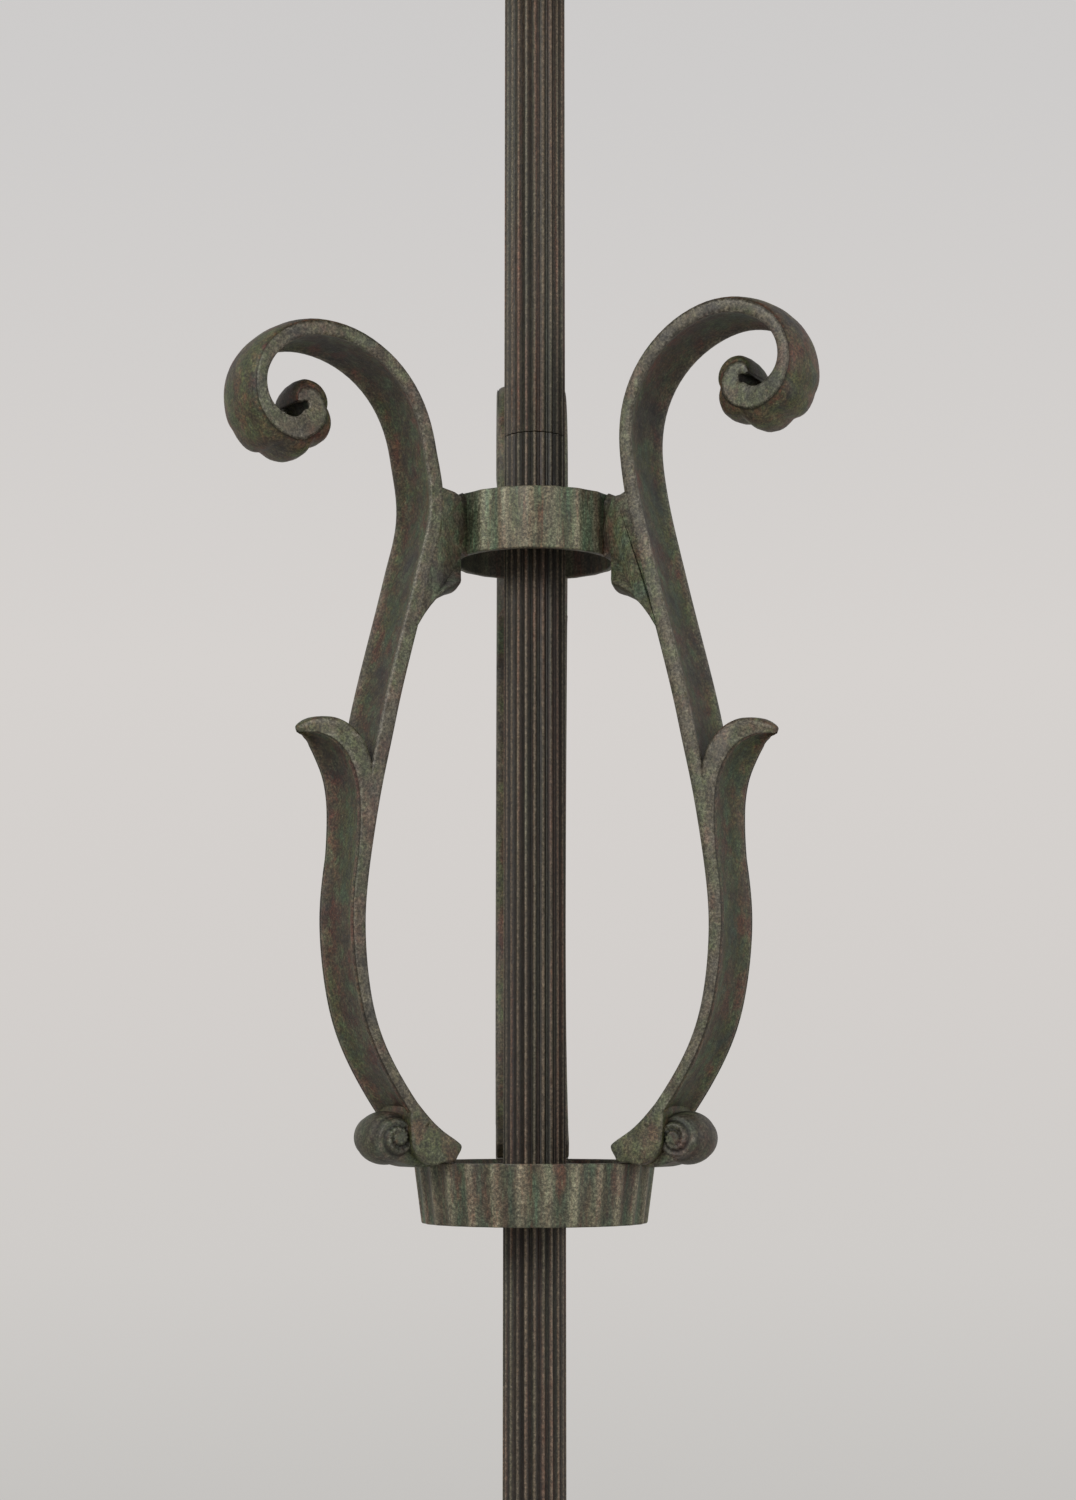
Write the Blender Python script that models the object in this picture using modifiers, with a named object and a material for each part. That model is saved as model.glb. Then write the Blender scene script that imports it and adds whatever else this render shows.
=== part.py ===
"""Torchiere floor lamp: a fluted stem through a three-armed lyre, on a weighted base, under an uplight bowl.

Metres, +Z up, the floor at z = 0 and the stem on the Z axis. The front faces -Y.
"""

from math import ceil, cos, hypot, pi, radians, sin

import bmesh
import bpy
from mathutils import Matrix, Vector

# Overall layout
LYRE_Z = 1.000  # underside of the lyre's lower ring
LYRE_RISE = 0.230  # from the lower ring's rim to the upper ring's underside
SEAM_RISE = 0.026  # from the upper ring's top to the joint in the stem
UPPER_STEM_LENGTH = 0.205
STEM_R = 0.012
STEM_BORE_R = 0.009
STEM_FLUTES = 22
FLUTE_DEPTH = 0.0008
PIPE_R = 0.005
PIPE_BORE_R = 0.0035
LEAD_R = 0.0025

# Clearances
GAP = 0.0003  # between pieces that touch
SLIDE = 0.0003  # round the stem in its sockets
THREAD = 0.0004  # round the draw pipe in every hole

# Base
FELT_R = 0.136
FELT_THICK = 0.002
BASE_R = 0.145
BASE_WALL = 0.007
BASE_RING_HEIGHT = 0.023
BASE_FLUTES = 56
LIP_WIDTH = 0.012
LIP_THICK = 0.0045
DOME_WALL = 0.004
DOME_HEIGHT = 0.050
NECK_R = 0.024
WEIGHT_HEIGHT = 0.020
FLANGE_HEIGHT = 0.007
NUT_RECESS_DEPTH = 0.010
NUT_RECESS_R = 0.024
NUT_R = 0.0098
NUT_HEIGHT = 0.006
WASHER_R = 0.014
WASHER_THICK = 0.0016
COLLAR_HEIGHT = 0.030
SOCKET_DEPTH = 0.016
GLAND_R = 0.005
GLAND_BORE_R = 0.0034
GLAND_Z = 0.011
BLOCK_SIZE = (0.020, 0.014, 0.008)
BLOCK_Y = 0.092

# Lyre
LOWER_RING_R = 0.0458
LOWER_RING_FOOT_R = 0.0427
LOWER_RING_HEIGHT = 0.023
LOWER_RING_FLUTES = 28
UPPER_RING_R = 0.033
UPPER_RING_HEIGHT = 0.024
UPPER_RING_FLUTES = 21
RING_WALL = 0.0033
RING_FLUTE_DEPTH = 0.0010
WEB_Z = 0.005  # the lower ring's floor above its underside
WEB_THICK = 0.004
HUB_WALL = 0.0055
HUB_HEIGHT = 0.017
GRUB_R = 0.002
GRUB_TURN = radians(31.2)
BAND_WIDTH = 0.029
BAND_NECK_GAP = 0.0188  # from the upper ring to the middle of the arm's band
BELLY = 0.036  # how far the arms swell beyond the line from ring to ring
ROLL_R = 0.009
ROLL_LENGTH = 0.019
ROLL_OUT = 0.0190  # from the lower ring to the roll's axis
ROLL_RISE = 0.0085  # from the lower ring's rim to the roll's axis
TONGUE_WIDTH = 0.018  # the tongue under the foot that carries the roll
BEND_OUT = 0.021  # the scroll bends about a point this far from the upper ring
BEND_RISE = 0.009  # and this far above its underside
BEND_START = -0.008  # where the bend begins, above the ring's underside
BEND_END = 0.037
STUD_R = 0.0015
STUD_DEPTH = 0.0085  # into the lower ring
STUD_RISE = 0.0048  # into the arm's foot
PIN_R = 0.0016
PIN_HEAD_R = 0.003
PIN_REACH = 0.008  # into the arm's web
LYRE_TURN = radians(1.2)
ARMS = {  # direction, then how far the scroll was set by hand: bend and size
    "right": (radians(-30), 0.0, 1.0),
    "left": (radians(-150), radians(15), 0.985),
    "rear": (radians(90), radians(-2), 1.0),
}

# Bowl, lampholder and lamp
CROWN_HEIGHT = 0.030
CROWN_R = 0.036
CROWN_SEAT = 0.004
CROWN_RING_BORE_R = 0.024
CROWN_RING_HEIGHT = 0.014
BOWL_R = 0.212
BOWL_DEPTH = 0.148
BOWL_WALL = 0.002
BOWL_SEAT_R = 0.040
RIM_R = 0.004
COUPLER_LENGTH = 0.050
HOLDER_R = 0.0195
HOLDER_WALL = 0.0035
HOLDER_CAP_HEIGHT = 0.022
HOLDER_CAP_WALL = 0.002
HOLDER_HEIGHT = 0.040
HOLDER_FLOOR = 0.005
CONTACT_THICK = 0.002
CONTACT_HEIGHT = 0.024
TIP_R = 0.006
LAMP_CAP_R = 0.0130
LAMP_CAP_HEIGHT = 0.025
LAMP_R = 0.030
LAMP_HEIGHT = 0.082
LAMP_WALL = 0.001
SWITCH_SHAFT_R = 0.0017
SWITCH_KNOB_R = 0.0065
SWITCH_KNOB_LENGTH = 0.008
SWITCH_REACH = 0.003  # from the holder to the knob

ROUND = 40
SMALL_ROUND = 20

# Heights that follow from the sizes above
RING_FOOT_Z = FELT_THICK + GAP
RING_TOP_Z = RING_FOOT_Z + BASE_RING_HEIGHT
LIP_Z = RING_TOP_Z - LIP_THICK
WEIGHT_Z = LIP_Z - GAP - FLANGE_HEIGHT
DOME_Z = RING_TOP_Z + GAP
DOME_TOP_Z = DOME_Z + DOME_HEIGHT
COLLAR_Z = DOME_TOP_Z + GAP
STEM_Z = COLLAR_Z + COLLAR_HEIGHT - SOCKET_DEPTH + GAP
RIM_Z = LYRE_Z + LOWER_RING_HEIGHT
UPPER_RING_Z = RIM_Z + LYRE_RISE
UPPER_RING_TOP_Z = UPPER_RING_Z + UPPER_RING_HEIGHT
SEAM_Z = UPPER_RING_TOP_Z + SEAM_RISE
UPPER_STEM_Z = SEAM_Z + GAP
UPPER_STEM_TOP_Z = UPPER_STEM_Z + UPPER_STEM_LENGTH
CROWN_Z = UPPER_STEM_TOP_Z + GAP - SOCKET_DEPTH
CROWN_TOP_Z = CROWN_Z + CROWN_HEIGHT
BOWL_Z = CROWN_TOP_Z + GAP
BOWL_WASHER_Z = BOWL_Z + BOWL_WALL + GAP
BOWL_NUT_Z = BOWL_WASHER_Z + WASHER_THICK + GAP
HOLDER_CAP_Z = BOWL_NUT_Z + NUT_HEIGHT + GAP
HOLDER_Z = HOLDER_CAP_Z + HOLDER_CAP_HEIGHT + GAP
BASE_WASHER_Z = WEIGHT_Z + NUT_RECESS_DEPTH - GAP - WASHER_THICK
BASE_NUT_Z = BASE_WASHER_Z - GAP - NUT_HEIGHT
PIPE_Z = BASE_NUT_Z - 0.001
PIPE_TOP_Z = HOLDER_CAP_Z + HOLDER_CAP_HEIGHT / 3
STUD_X = LOWER_RING_R - 0.0042
PIN_Z = UPPER_RING_Z + UPPER_RING_HEIGHT / 2
GRUB_Z = LYRE_Z + WEB_Z + WEB_THICK + 0.006
SWITCH_Z = HOLDER_CAP_Z + 0.62 * HOLDER_CAP_HEIGHT
HOLDER_FLOOR_Z = HOLDER_Z + HOLDER_FLOOR
LAMP_Z = HOLDER_FLOOR_Z + CONTACT_THICK + 2 * GAP


# Tools

def new_collection(name):
    collection = bpy.data.collections.new(name)
    bpy.context.scene.collection.children.link(collection)
    return collection


def material(name, colour, roughness, metallic, alpha=1.0):
    made = bpy.data.materials.new(name)
    made.use_nodes = True
    shader = made.node_tree.nodes["Principled BSDF"]
    shader.inputs["Base Color"].default_value = (*colour, 1.0)
    shader.inputs["Roughness"].default_value = roughness
    shader.inputs["Metallic"].default_value = metallic
    shader.inputs["Alpha"].default_value = alpha
    made.diffuse_color = (*colour, alpha)
    return made


def add_object(name, mesh, finish, collection):
    mesh.materials.clear()
    mesh.materials.append(finish)
    made = bpy.data.objects.new(name, mesh)
    collection.objects.link(made)
    return made


def circle(radius, count, centre=(0.0, 0.0)):
    return [
        (centre[0] + radius * cos(2 * pi * i / count), centre[1] + radius * sin(2 * pi * i / count))
        for i in range(count)
    ]


def fluted(radius, count, depth, land=0.16, steps=4):
    """A circle with concave flutes between narrow lands."""
    points = []
    pitch = 2 * pi / count
    for i in range(count):
        for step in range(steps + 1):
            share = step / steps
            angle = pitch * (i + land / 2 + (1 - land) * share)
            r = radius - depth * sin(pi * share)
            points.append((r * cos(angle), r * sin(angle)))
    return points


def smooth(knots, steps):
    """A Catmull-Rom curve through the knots."""
    points = []
    ends = [knots[0], *knots, knots[-1]]
    for before, start, end, after in zip(ends, ends[1:], ends[2:], ends[3:]):
        for i in range(steps):
            t = i / steps
            points.append(tuple(
                0.5 * (2 * b + (c - a) * t + (2 * a - 5 * b + 4 * c - d) * t**2
                       + (3 * b - a - 3 * c + d) * t**3)
                for a, b, c, d in zip(before, start, end, after)
            ))
    points.append(tuple(knots[-1]))
    return points


def offset(path, distance):
    """The path moved to its right-hand side, by one distance or by one for each point."""
    points = []
    for i, (x, y) in enumerate(path):
        x0, y0 = path[max(i - 1, 0)]
        x1, y1 = path[min(i + 1, len(path) - 1)]
        length = hypot(x1 - x0, y1 - y0)
        d = distance[i] if isinstance(distance, list) else distance
        points.append((x + d * (y1 - y0) / length, y - d * (x1 - x0) / length))
    return points


def plate(name, outlines, z, height, finish, collection):
    """A flat outline, with holes if there are more outlines, given a height."""
    curve = bpy.data.curves.new(name, "CURVE")
    curve.dimensions = "2D"
    curve.fill_mode = "BOTH"
    curve.extrude = height / 2
    for outline in outlines:
        spline = curve.splines.new("POLY")
        spline.points.add(len(outline) - 1)
        for point, (x, y) in zip(spline.points, outline):
            point.co = (x, y, 0.0, 1.0)
        spline.use_cyclic_u = True
    flat = bpy.data.objects.new(name + "_outline", curve)
    bpy.context.scene.collection.objects.link(flat)
    shape = flat.evaluated_get(bpy.context.evaluated_depsgraph_get())
    mesh = bpy.data.meshes.new_from_object(shape)
    bpy.data.objects.remove(flat)
    bpy.data.curves.remove(curve)
    solid = bmesh.new()
    solid.from_mesh(mesh)
    bmesh.ops.remove_doubles(solid, verts=solid.verts, dist=1e-6)
    bmesh.ops.translate(solid, verts=solid.verts, vec=(0.0, 0.0, z + height / 2))
    bmesh.ops.recalc_face_normals(solid, faces=solid.faces)
    solid.to_mesh(mesh)
    solid.free()
    return add_object(name, mesh, finish, collection)


def turned(name, profile, finish, collection, closed=True, steps=ROUND):
    """A profile at +X turned about Z. An open profile starts and ends on the axis."""
    mesh = bpy.data.meshes.new(name)
    count = len(profile)
    edges = [(i, i + 1) for i in range(count - 1)]
    if closed:
        edges.append((count - 1, 0))
    mesh.from_pydata([(x, 0.0, z) for x, z in profile], edges, [])
    made = add_object(name, mesh, finish, collection)
    screw = made.modifiers.new("Turn", "SCREW")
    screw.axis = "Z"
    screw.steps = steps
    screw.render_steps = steps
    screw.use_merge_vertices = True
    screw.merge_threshold = 1e-5
    return made


def tube(name, outer, bore, z, height, finish, collection, steps=SMALL_ROUND):
    top = z + height
    profile = [(bore, top), (outer, top), (outer, z), (bore, z)]
    return turned(name, profile, finish, collection, steps=steps)


def rod(name, radius, start, end, finish, collection, sides=SMALL_ROUND):
    """A solid cylinder from one point to another."""
    start, end = Vector(start), Vector(end)
    along = end - start
    turn = along.to_track_quat("Z", "Y").to_matrix().to_4x4()
    solid = bmesh.new()
    bmesh.ops.create_cone(
        solid, cap_ends=True, segments=sides, radius1=radius, radius2=radius, depth=along.length,
        matrix=Matrix.Translation((start + end) / 2) @ turn,
    )
    mesh = bpy.data.meshes.new(name)
    solid.to_mesh(mesh)
    solid.free()
    return add_object(name, mesh, finish, collection)


def combine(target, other, operation):
    """Keeps a cut or a join live on the target; the other piece stays as a wire cutter."""
    other.hide_render = True
    other.display_type = "WIRE"
    change = target.modifiers.new(operation.title(), "BOOLEAN")
    change.operation = operation
    change.solver = "EXACT"
    change.object = other


# Base

def make_felt_pad(parts, finish):
    profile = [(0.0, FELT_THICK), (FELT_R, FELT_THICK), (FELT_R, 0.0), (0.0, 0.0)]
    turned("felt_pad", profile, finish, parts, closed=False)


def make_base_ring(parts, cutters, finish):
    outline = fluted(BASE_R, BASE_FLUTES, RING_FLUTE_DEPTH)
    inner = circle(BASE_R - BASE_WALL - LIP_WIDTH, ROUND)
    ring = plate("base_ring", [outline, inner], RING_FOOT_Z, BASE_RING_HEIGHT, finish, parts)
    hollow = rod("base_ring_hollow", BASE_R - BASE_WALL, (0, 0, RING_FOOT_Z - 0.01), (0, 0, LIP_Z),
                 finish, cutters, ROUND)
    combine(ring, hollow, "DIFFERENCE")
    hole = rod("base_ring_hole", GLAND_R + GAP, (0, BASE_R - 2 * BASE_WALL, GLAND_Z),
               (0, BASE_R + 0.01, GLAND_Z), finish, cutters)
    combine(ring, hole, "DIFFERENCE")


def make_gland(parts, finish):
    """A flanged bush for the cable, in the back of the base ring."""
    flange = GLAND_R + 0.002
    half = BASE_WALL / 2
    profile = [
        (GLAND_BORE_R, half + 0.003), (flange, half + 0.003), (flange, half + GAP), (GLAND_R, half + GAP),
        (GLAND_R, -half - 0.001), (GLAND_BORE_R, -half - 0.001),
    ]
    gland = turned("cable_gland", profile, finish, parts, steps=SMALL_ROUND)
    gland.location = (0.0, BASE_R - half, GLAND_Z)
    gland.rotation_euler = (-pi / 2, 0.0, 0.0)


def make_dome(parts, finish):
    """The cast cover over the weight, with a flat seat for the collar."""
    foot_r = BASE_R - 0.002
    rise = DOME_HEIGHT
    outer = smooth([
        (NECK_R, DOME_Z + rise), (NECK_R + 0.002, DOME_Z + 0.82 * rise),
        (NECK_R + 0.012, DOME_Z + 0.60 * rise), (0.36 * foot_r, DOME_Z + 0.46 * rise),
        (0.62 * foot_r, DOME_Z + 0.34 * rise),
        (0.84 * foot_r, DOME_Z + 0.25 * rise), (foot_r - 0.008, DOME_Z + 0.18 * rise),
    ], 2)
    outer += [(foot_r - 0.002, DOME_Z + 0.11 * rise), (foot_r, DOME_Z + 0.05 * rise), (foot_r, DOME_Z)]
    inner = [(foot_r - 2.2 * BASE_WALL, DOME_Z), (0.80 * foot_r, DOME_Z + 0.25 * rise - DOME_WALL)]
    inner.append((0.60 * foot_r, DOME_Z + 0.34 * rise - DOME_WALL))
    inner.append((0.36 * foot_r, DOME_Z + 0.46 * rise - DOME_WALL))
    inner.append((NECK_R + 0.006, DOME_Z + 0.60 * rise - DOME_WALL))
    inner.append((NECK_R - DOME_WALL, DOME_Z + 0.80 * rise - DOME_WALL))
    inner += [(NECK_R - DOME_WALL, DOME_TOP_Z - DOME_WALL), (PIPE_R + THREAD, DOME_TOP_Z - DOME_WALL)]
    profile = [(PIPE_R + THREAD, DOME_TOP_Z)] + outer + inner
    turned("base_dome", profile, finish, parts)


def make_weight(parts, finish):
    """The iron weight: its flange pulls the ring's lip up against the dome."""
    body_r = BASE_R - BASE_WALL - LIP_WIDTH - 0.003
    flange_r = BASE_R - BASE_WALL - 0.005
    bore = PIPE_R + THREAD
    top = WEIGHT_Z + WEIGHT_HEIGHT
    recess = WEIGHT_Z + NUT_RECESS_DEPTH
    shoulder = LIP_Z - GAP
    profile = [
        (bore, top), (body_r - 0.016, top), (body_r, DOME_Z + 0.001), (body_r, shoulder),
        (flange_r, shoulder), (flange_r, WEIGHT_Z), (NUT_RECESS_R, WEIGHT_Z), (NUT_RECESS_R, recess),
        (bore, recess),
    ]
    turned("base_weight", profile, finish, parts)


def make_nut(name, z, parts, finish):
    hexagon = circle(NUT_R, 6)
    plate(name, [hexagon, circle(PIPE_R + THREAD / 2, SMALL_ROUND)], z, NUT_HEIGHT, finish, parts)


def make_washer(name, z, parts, finish):
    tube(name, WASHER_R, PIPE_R + THREAD, z, WASHER_THICK, finish, parts)


def make_terminal_block(parts, finish):
    solid = bmesh.new()
    centre = (0.0, BLOCK_Y, WEIGHT_Z - GAP - BLOCK_SIZE[2] / 2)
    place = Matrix.Translation(centre) @ Matrix.Diagonal((*BLOCK_SIZE, 1.0))
    bmesh.ops.create_cube(solid, size=1.0, matrix=place)
    mesh = bpy.data.meshes.new("terminal_block")
    solid.to_mesh(mesh)
    solid.free()
    add_object("terminal_block", mesh, finish, parts)


def make_collar(parts, finish):
    """The turned collar that seats the stem on the dome."""
    top = COLLAR_Z + COLLAR_HEIGHT
    socket = STEM_R + SLIDE
    bore = PIPE_R + THREAD
    floor = top - SOCKET_DEPTH
    outer = smooth([
        (socket + 0.0035, top - 0.0015), (socket + 0.0045, top - 0.004), (socket + 0.002, top - 0.009),
        (socket + 0.002, top - 0.014), (NECK_R - 0.005, COLLAR_Z + 0.010), (NECK_R, COLLAR_Z + 0.006),
        (NECK_R + 0.0005, COLLAR_Z + 0.003),
    ], 2)
    profile = [(socket, top), (socket + 0.002, top)] + outer
    profile += [(NECK_R - 0.0005, COLLAR_Z), (bore, COLLAR_Z), (bore, floor), (socket, floor)]
    turned("base_collar", profile, finish, parts, steps=32)


# Stem

def make_stem(name, z, top, parts, finish):
    outline = fluted(STEM_R, STEM_FLUTES, FLUTE_DEPTH, 0.2, 3)
    plate(name, [outline, circle(STEM_BORE_R, SMALL_ROUND)], z, top - z, finish, parts)


def make_lead(parts, finish):
    """The inner lead, from the terminal block up the pipe to the lampholder."""
    start_y = BLOCK_Y - BLOCK_SIZE[1] / 2 - GAP
    start_z = WEIGHT_Z - GAP - BLOCK_SIZE[2] / 2
    bend = 0.008
    low = PIPE_Z - bend
    route = [(0, start_y, start_z), (0, start_y * 0.9, start_z)]
    route += [(0, start_y * 0.6, low), (0, start_y * 0.3, low)]
    route += [(0, bend * (1 - sin(pi * i / 12)), low + bend * (1 - cos(pi * i / 12))) for i in range(7)]
    route.append((0, 0, PIPE_TOP_Z + 0.004))
    curve = bpy.data.curves.new("inner_lead", "CURVE")
    curve.dimensions = "3D"
    curve.bevel_depth = LEAD_R
    curve.bevel_resolution = 2
    curve.use_fill_caps = True
    spline = curve.splines.new("POLY")
    spline.points.add(len(route) - 1)
    for point, place in zip(spline.points, route):
        point.co = (*place, 1.0)
    curve.materials.append(finish)
    parts.objects.link(bpy.data.objects.new("inner_lead", curve))


# Lyre

def make_lower_ring(parts, cutters, finish):
    """The fluted cup: wall, floor and hub in one casting, with a boss under each arm."""
    outline = fluted(LOWER_RING_R, LOWER_RING_FLUTES, RING_FLUTE_DEPTH)
    inner = circle(LOWER_RING_R - RING_WALL, ROUND)
    ring = plate("lyre_lower_ring", [outline, inner], LYRE_Z, LOWER_RING_HEIGHT, finish, parts)
    slope = (1 - LOWER_RING_FOOT_R / LOWER_RING_R) / LOWER_RING_HEIGHT
    for vertex in ring.data.vertices:
        size = 1 - slope * (RIM_Z - vertex.co.z)
        vertex.co.x *= size
        vertex.co.y *= size
    bore = STEM_R + SLIDE
    web = LYRE_Z + WEB_Z
    reach = LOWER_RING_FOOT_R - RING_WALL + 0.0015
    hub = [
        (bore, web + HUB_HEIGHT), (bore + HUB_WALL, web + HUB_HEIGHT), (bore + HUB_WALL, web + WEB_THICK),
        (reach, web + WEB_THICK), (reach, web), (bore, web),
    ]
    combine(ring, turned("lower_ring_floor", hub, finish, cutters), "UNION")
    for side, (angle, _, _) in ARMS.items():
        place_stud_boss(ring, side, angle + LYRE_TURN, cutters, finish)
    hole = rod("grub_hole", GRUB_R + THREAD / 4, (STEM_R, 0, GRUB_Z), (bore + HUB_WALL + 0.002, 0, GRUB_Z),
               finish, cutters, 12)
    hole.rotation_euler.z = GRUB_TURN
    combine(ring, hole, "DIFFERENCE")


def place_stud_boss(ring, side, angle, cutters, finish):
    foot = RIM_Z - STUD_DEPTH
    boss_x = STUD_X - 0.001
    boss = rod("boss_" + side, STUD_R + 0.0017, (boss_x, 0, foot - 0.002), (boss_x, 0, RIM_Z - 1e-4),
               finish, cutters, 16)
    boss.rotation_euler.z = angle
    combine(ring, boss, "UNION")
    hole = rod("stud_hole_" + side, STUD_R + THREAD / 4, (STUD_X, 0, foot), (STUD_X, 0, RIM_Z + 0.001),
               finish, cutters, 12)
    hole.rotation_euler.z = angle
    combine(ring, hole, "DIFFERENCE")


def make_upper_ring(parts, cutters, finish):
    outline = fluted(UPPER_RING_R, UPPER_RING_FLUTES, RING_FLUTE_DEPTH, 0.1)
    inner = circle(UPPER_RING_R - RING_WALL, ROUND)
    ring = plate("lyre_upper_ring", [outline, inner], UPPER_RING_Z, UPPER_RING_HEIGHT, finish, parts)
    for side, (angle, _, _) in ARMS.items():
        hole = rod("pin_hole_ring_" + side, PIN_R + THREAD / 4, (UPPER_RING_R - 0.008, 0, PIN_Z),
                   (UPPER_RING_R + 0.004, 0, PIN_Z), finish, cutters, 12)
        hole.rotation_euler.z = angle + LYRE_TURN
        combine(ring, hole, "DIFFERENCE")


def band_point(rise, bulge):
    """A point of the arm's band: its share of the rise, and how far it swells past the ring-to-ring line."""
    foot_r = LOWER_RING_R
    neck_r = UPPER_RING_R + BAND_NECK_GAP
    return foot_r + (neck_r - foot_r) * rise + BELLY * bulge, RIM_Z + LYRE_RISE * rise


# The band's middle line from the foot to the neck: share of the rise, bulge, thickness
BAND = [
    (0.093, 0.386, 0.0050), (0.159, 0.656, 0.0046), (0.224, 0.833, 0.0048), (0.296, 0.922, 0.0052),
    (0.370, 0.953, 0.0058), (0.430, 0.931, 0.0061), (0.500, 0.862, 0.0060), (0.596, 0.745, 0.0062),
    (0.675, 0.621, 0.0065), (0.743, 0.517, 0.0065), (0.822, 0.375, 0.0065), (0.909, 0.211, 0.0065),
    (0.996, 0.056, 0.0065), (1.083, -0.091, 0.0062), (1.161, -0.176, 0.0056),
]


# The scroll above the neck, as a chain of arcs: radius, turn in degrees, thickness at the arc's end
SCROLL = [
    (0.0457, 30, 0.0055), (0.0436, 55, 0.0060), (0.0306, 45, 0.0057), (0.0226, 60, 0.0045),
    (0.0162, 60, 0.0045), (0.0119, 90, 0.0050), (0.0065, 80, 0.0052), (0.0053, 66, 0.0026),
]
SCROLL_LEAN = radians(99.3)  # the neck's direction where the scroll starts
SCROLL_STEP = 15  # degrees between points


def scroll_line(x, z, thick):
    """The chain of arcs, each one turning clockwise from where the last one ends."""
    direction = SCROLL_LEAN
    line = []
    for radius, turn, end_thick in SCROLL:
        steps = ceil(turn / SCROLL_STEP)
        step = radians(turn / steps)
        chord = 2 * radius * sin(step / 2)
        for i in range(1, steps + 1):
            x += chord * cos(direction - step / 2)
            z += chord * sin(direction - step / 2)
            direction -= step
            line.append((x, z, thick + (end_thick - thick) * i / steps))
        thick = end_thick
    return line


def band_middle():
    """The whole middle line, foot to eye, as points with a thickness."""
    neck = smooth([(*band_point(rise, bulge), thick) for rise, bulge, thick in BAND], 2)
    return neck + scroll_line(*neck[-1])


def bend_scroll(points, bend, size):
    """Turns and scales the scroll about the neck, as the arm was set by hand."""
    neck_x, neck_z = UPPER_RING_R + BEND_OUT, UPPER_RING_Z + BEND_RISE
    bent = []
    for x, z in points:
        share = (z - UPPER_RING_Z - BEND_START) / (BEND_END - BEND_START)
        share = min(max(share, 0.0), 1.0)
        share = share * share * (3 - 2 * share)
        hangs_outside = x > neck_x + 0.008 and z > UPPER_RING_Z + 0.017
        if hangs_outside:
            share = 1.0
        turn = -bend * share
        scale = 1 + (size - 1) * share
        dx, dz = x - neck_x, z - neck_z
        turned_x = dx * cos(turn) - dz * sin(turn)
        turned_z = dx * sin(turn) + dz * cos(turn)
        bent.append((neck_x + scale * turned_x, neck_z + scale * turned_z))
    return bent


def first_above(points, height):
    """Index of the first point at or above a height."""
    return next(i for i, (_, z) in enumerate(points) if z >= height)


def foot_outline():
    """From the end of the band's outer edge down past the roll, and under the foot to its tip."""
    edge = LOWER_RING_R
    notch = [(edge + 0.0156, RIM_Z + 0.0160), (edge + 0.0146, RIM_Z + 0.0100)]
    notch += [(edge + 0.0140, RIM_Z + 0.0060), (edge + 0.0120, RIM_Z + 0.0030)]
    heel = [(edge + 0.0085, RIM_Z - 0.0004), (edge + 0.0062, RIM_Z - 0.0012)]
    heel.append((edge + 0.0035, RIM_Z - 0.0008))
    sole = [(edge + 0.0012, RIM_Z + GAP), (edge - 0.0045, RIM_Z + GAP), (edge - 0.0065, RIM_Z + 0.0015)]
    toe = [(edge - 0.0073, RIM_Z + 0.0050), (edge - 0.0060, RIM_Z + 0.0065), (edge - 0.0018, RIM_Z + 0.0087)]
    instep = [(edge + 0.0062, RIM_Z + 0.0155)]
    return notch + heel + sole + toe + instep


def tongue_outline():
    """The tongue from inside the foot to inside the roll."""
    edge = LOWER_RING_R
    outline = [(0.0070, 0.0100), (0.0050, 0.0050), (0.0070, -0.0016), (0.0110, -0.0012), (0.0150, 0.0002)]
    outline += [(0.0180, 0.0014), (0.0185, 0.0060), (0.0160, 0.0110)]
    return [(edge + x, RIM_Z + z) for x, z in outline]


def leaf_outline():
    """The leaf that curls off the band's outer face, from its root up to the tip and back to the band."""
    x, z = band_point(0.600, 0.745)
    outline = [(0.0062, 0.004), (0.0078, 0.010), (0.0118, 0.0148), (0.0170, 0.0172), (0.0252, 0.0195)]
    outline += [(0.0246, 0.0212), (0.0190, 0.0248), (0.0118, 0.0260), (0.0050, 0.0245), (0.0012, 0.0215)]
    return [(x + dx, z + dz) for dx, dz in outline]


def web_outline():
    """From the band's inner edge under the upper ring, over the spur, and along the ring to the neck."""
    ring = UPPER_RING_R
    low = UPPER_RING_Z
    high = UPPER_RING_TOP_Z
    spur = [(ring + 0.0250, low - 0.0350), (ring + 0.0215, low - 0.0285), (ring + 0.0155, low - 0.0208)]
    spur += [(ring + 0.0085, low - 0.0165), (ring + 0.0042, low - 0.0142), (ring + 0.0034, low - 0.0118)]
    spur += [(ring + 0.0046, low - 0.0080), (ring + 0.0044, low - 0.0004)]
    lug = [(ring - 0.0020, low + 0.0004), (ring - 0.0020, high - 0.0010)]
    neck = [(ring + 0.0060, high - 0.0016), (ring + 0.0095, high - 0.0008), (ring + 0.0117, high + 0.0020)]
    return spur + lug + neck


def across_arm(name, outline, width, angle, finish, collection):
    """A plate that stands across the arm's width, with its outline in the arm's own upright plane."""
    made = plate(name, [outline], -width / 2, width, finish, collection)
    made.data.transform(Matrix.Rotation(pi / 2, 4, "X"))
    made.rotation_euler.z = angle
    return made


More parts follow.
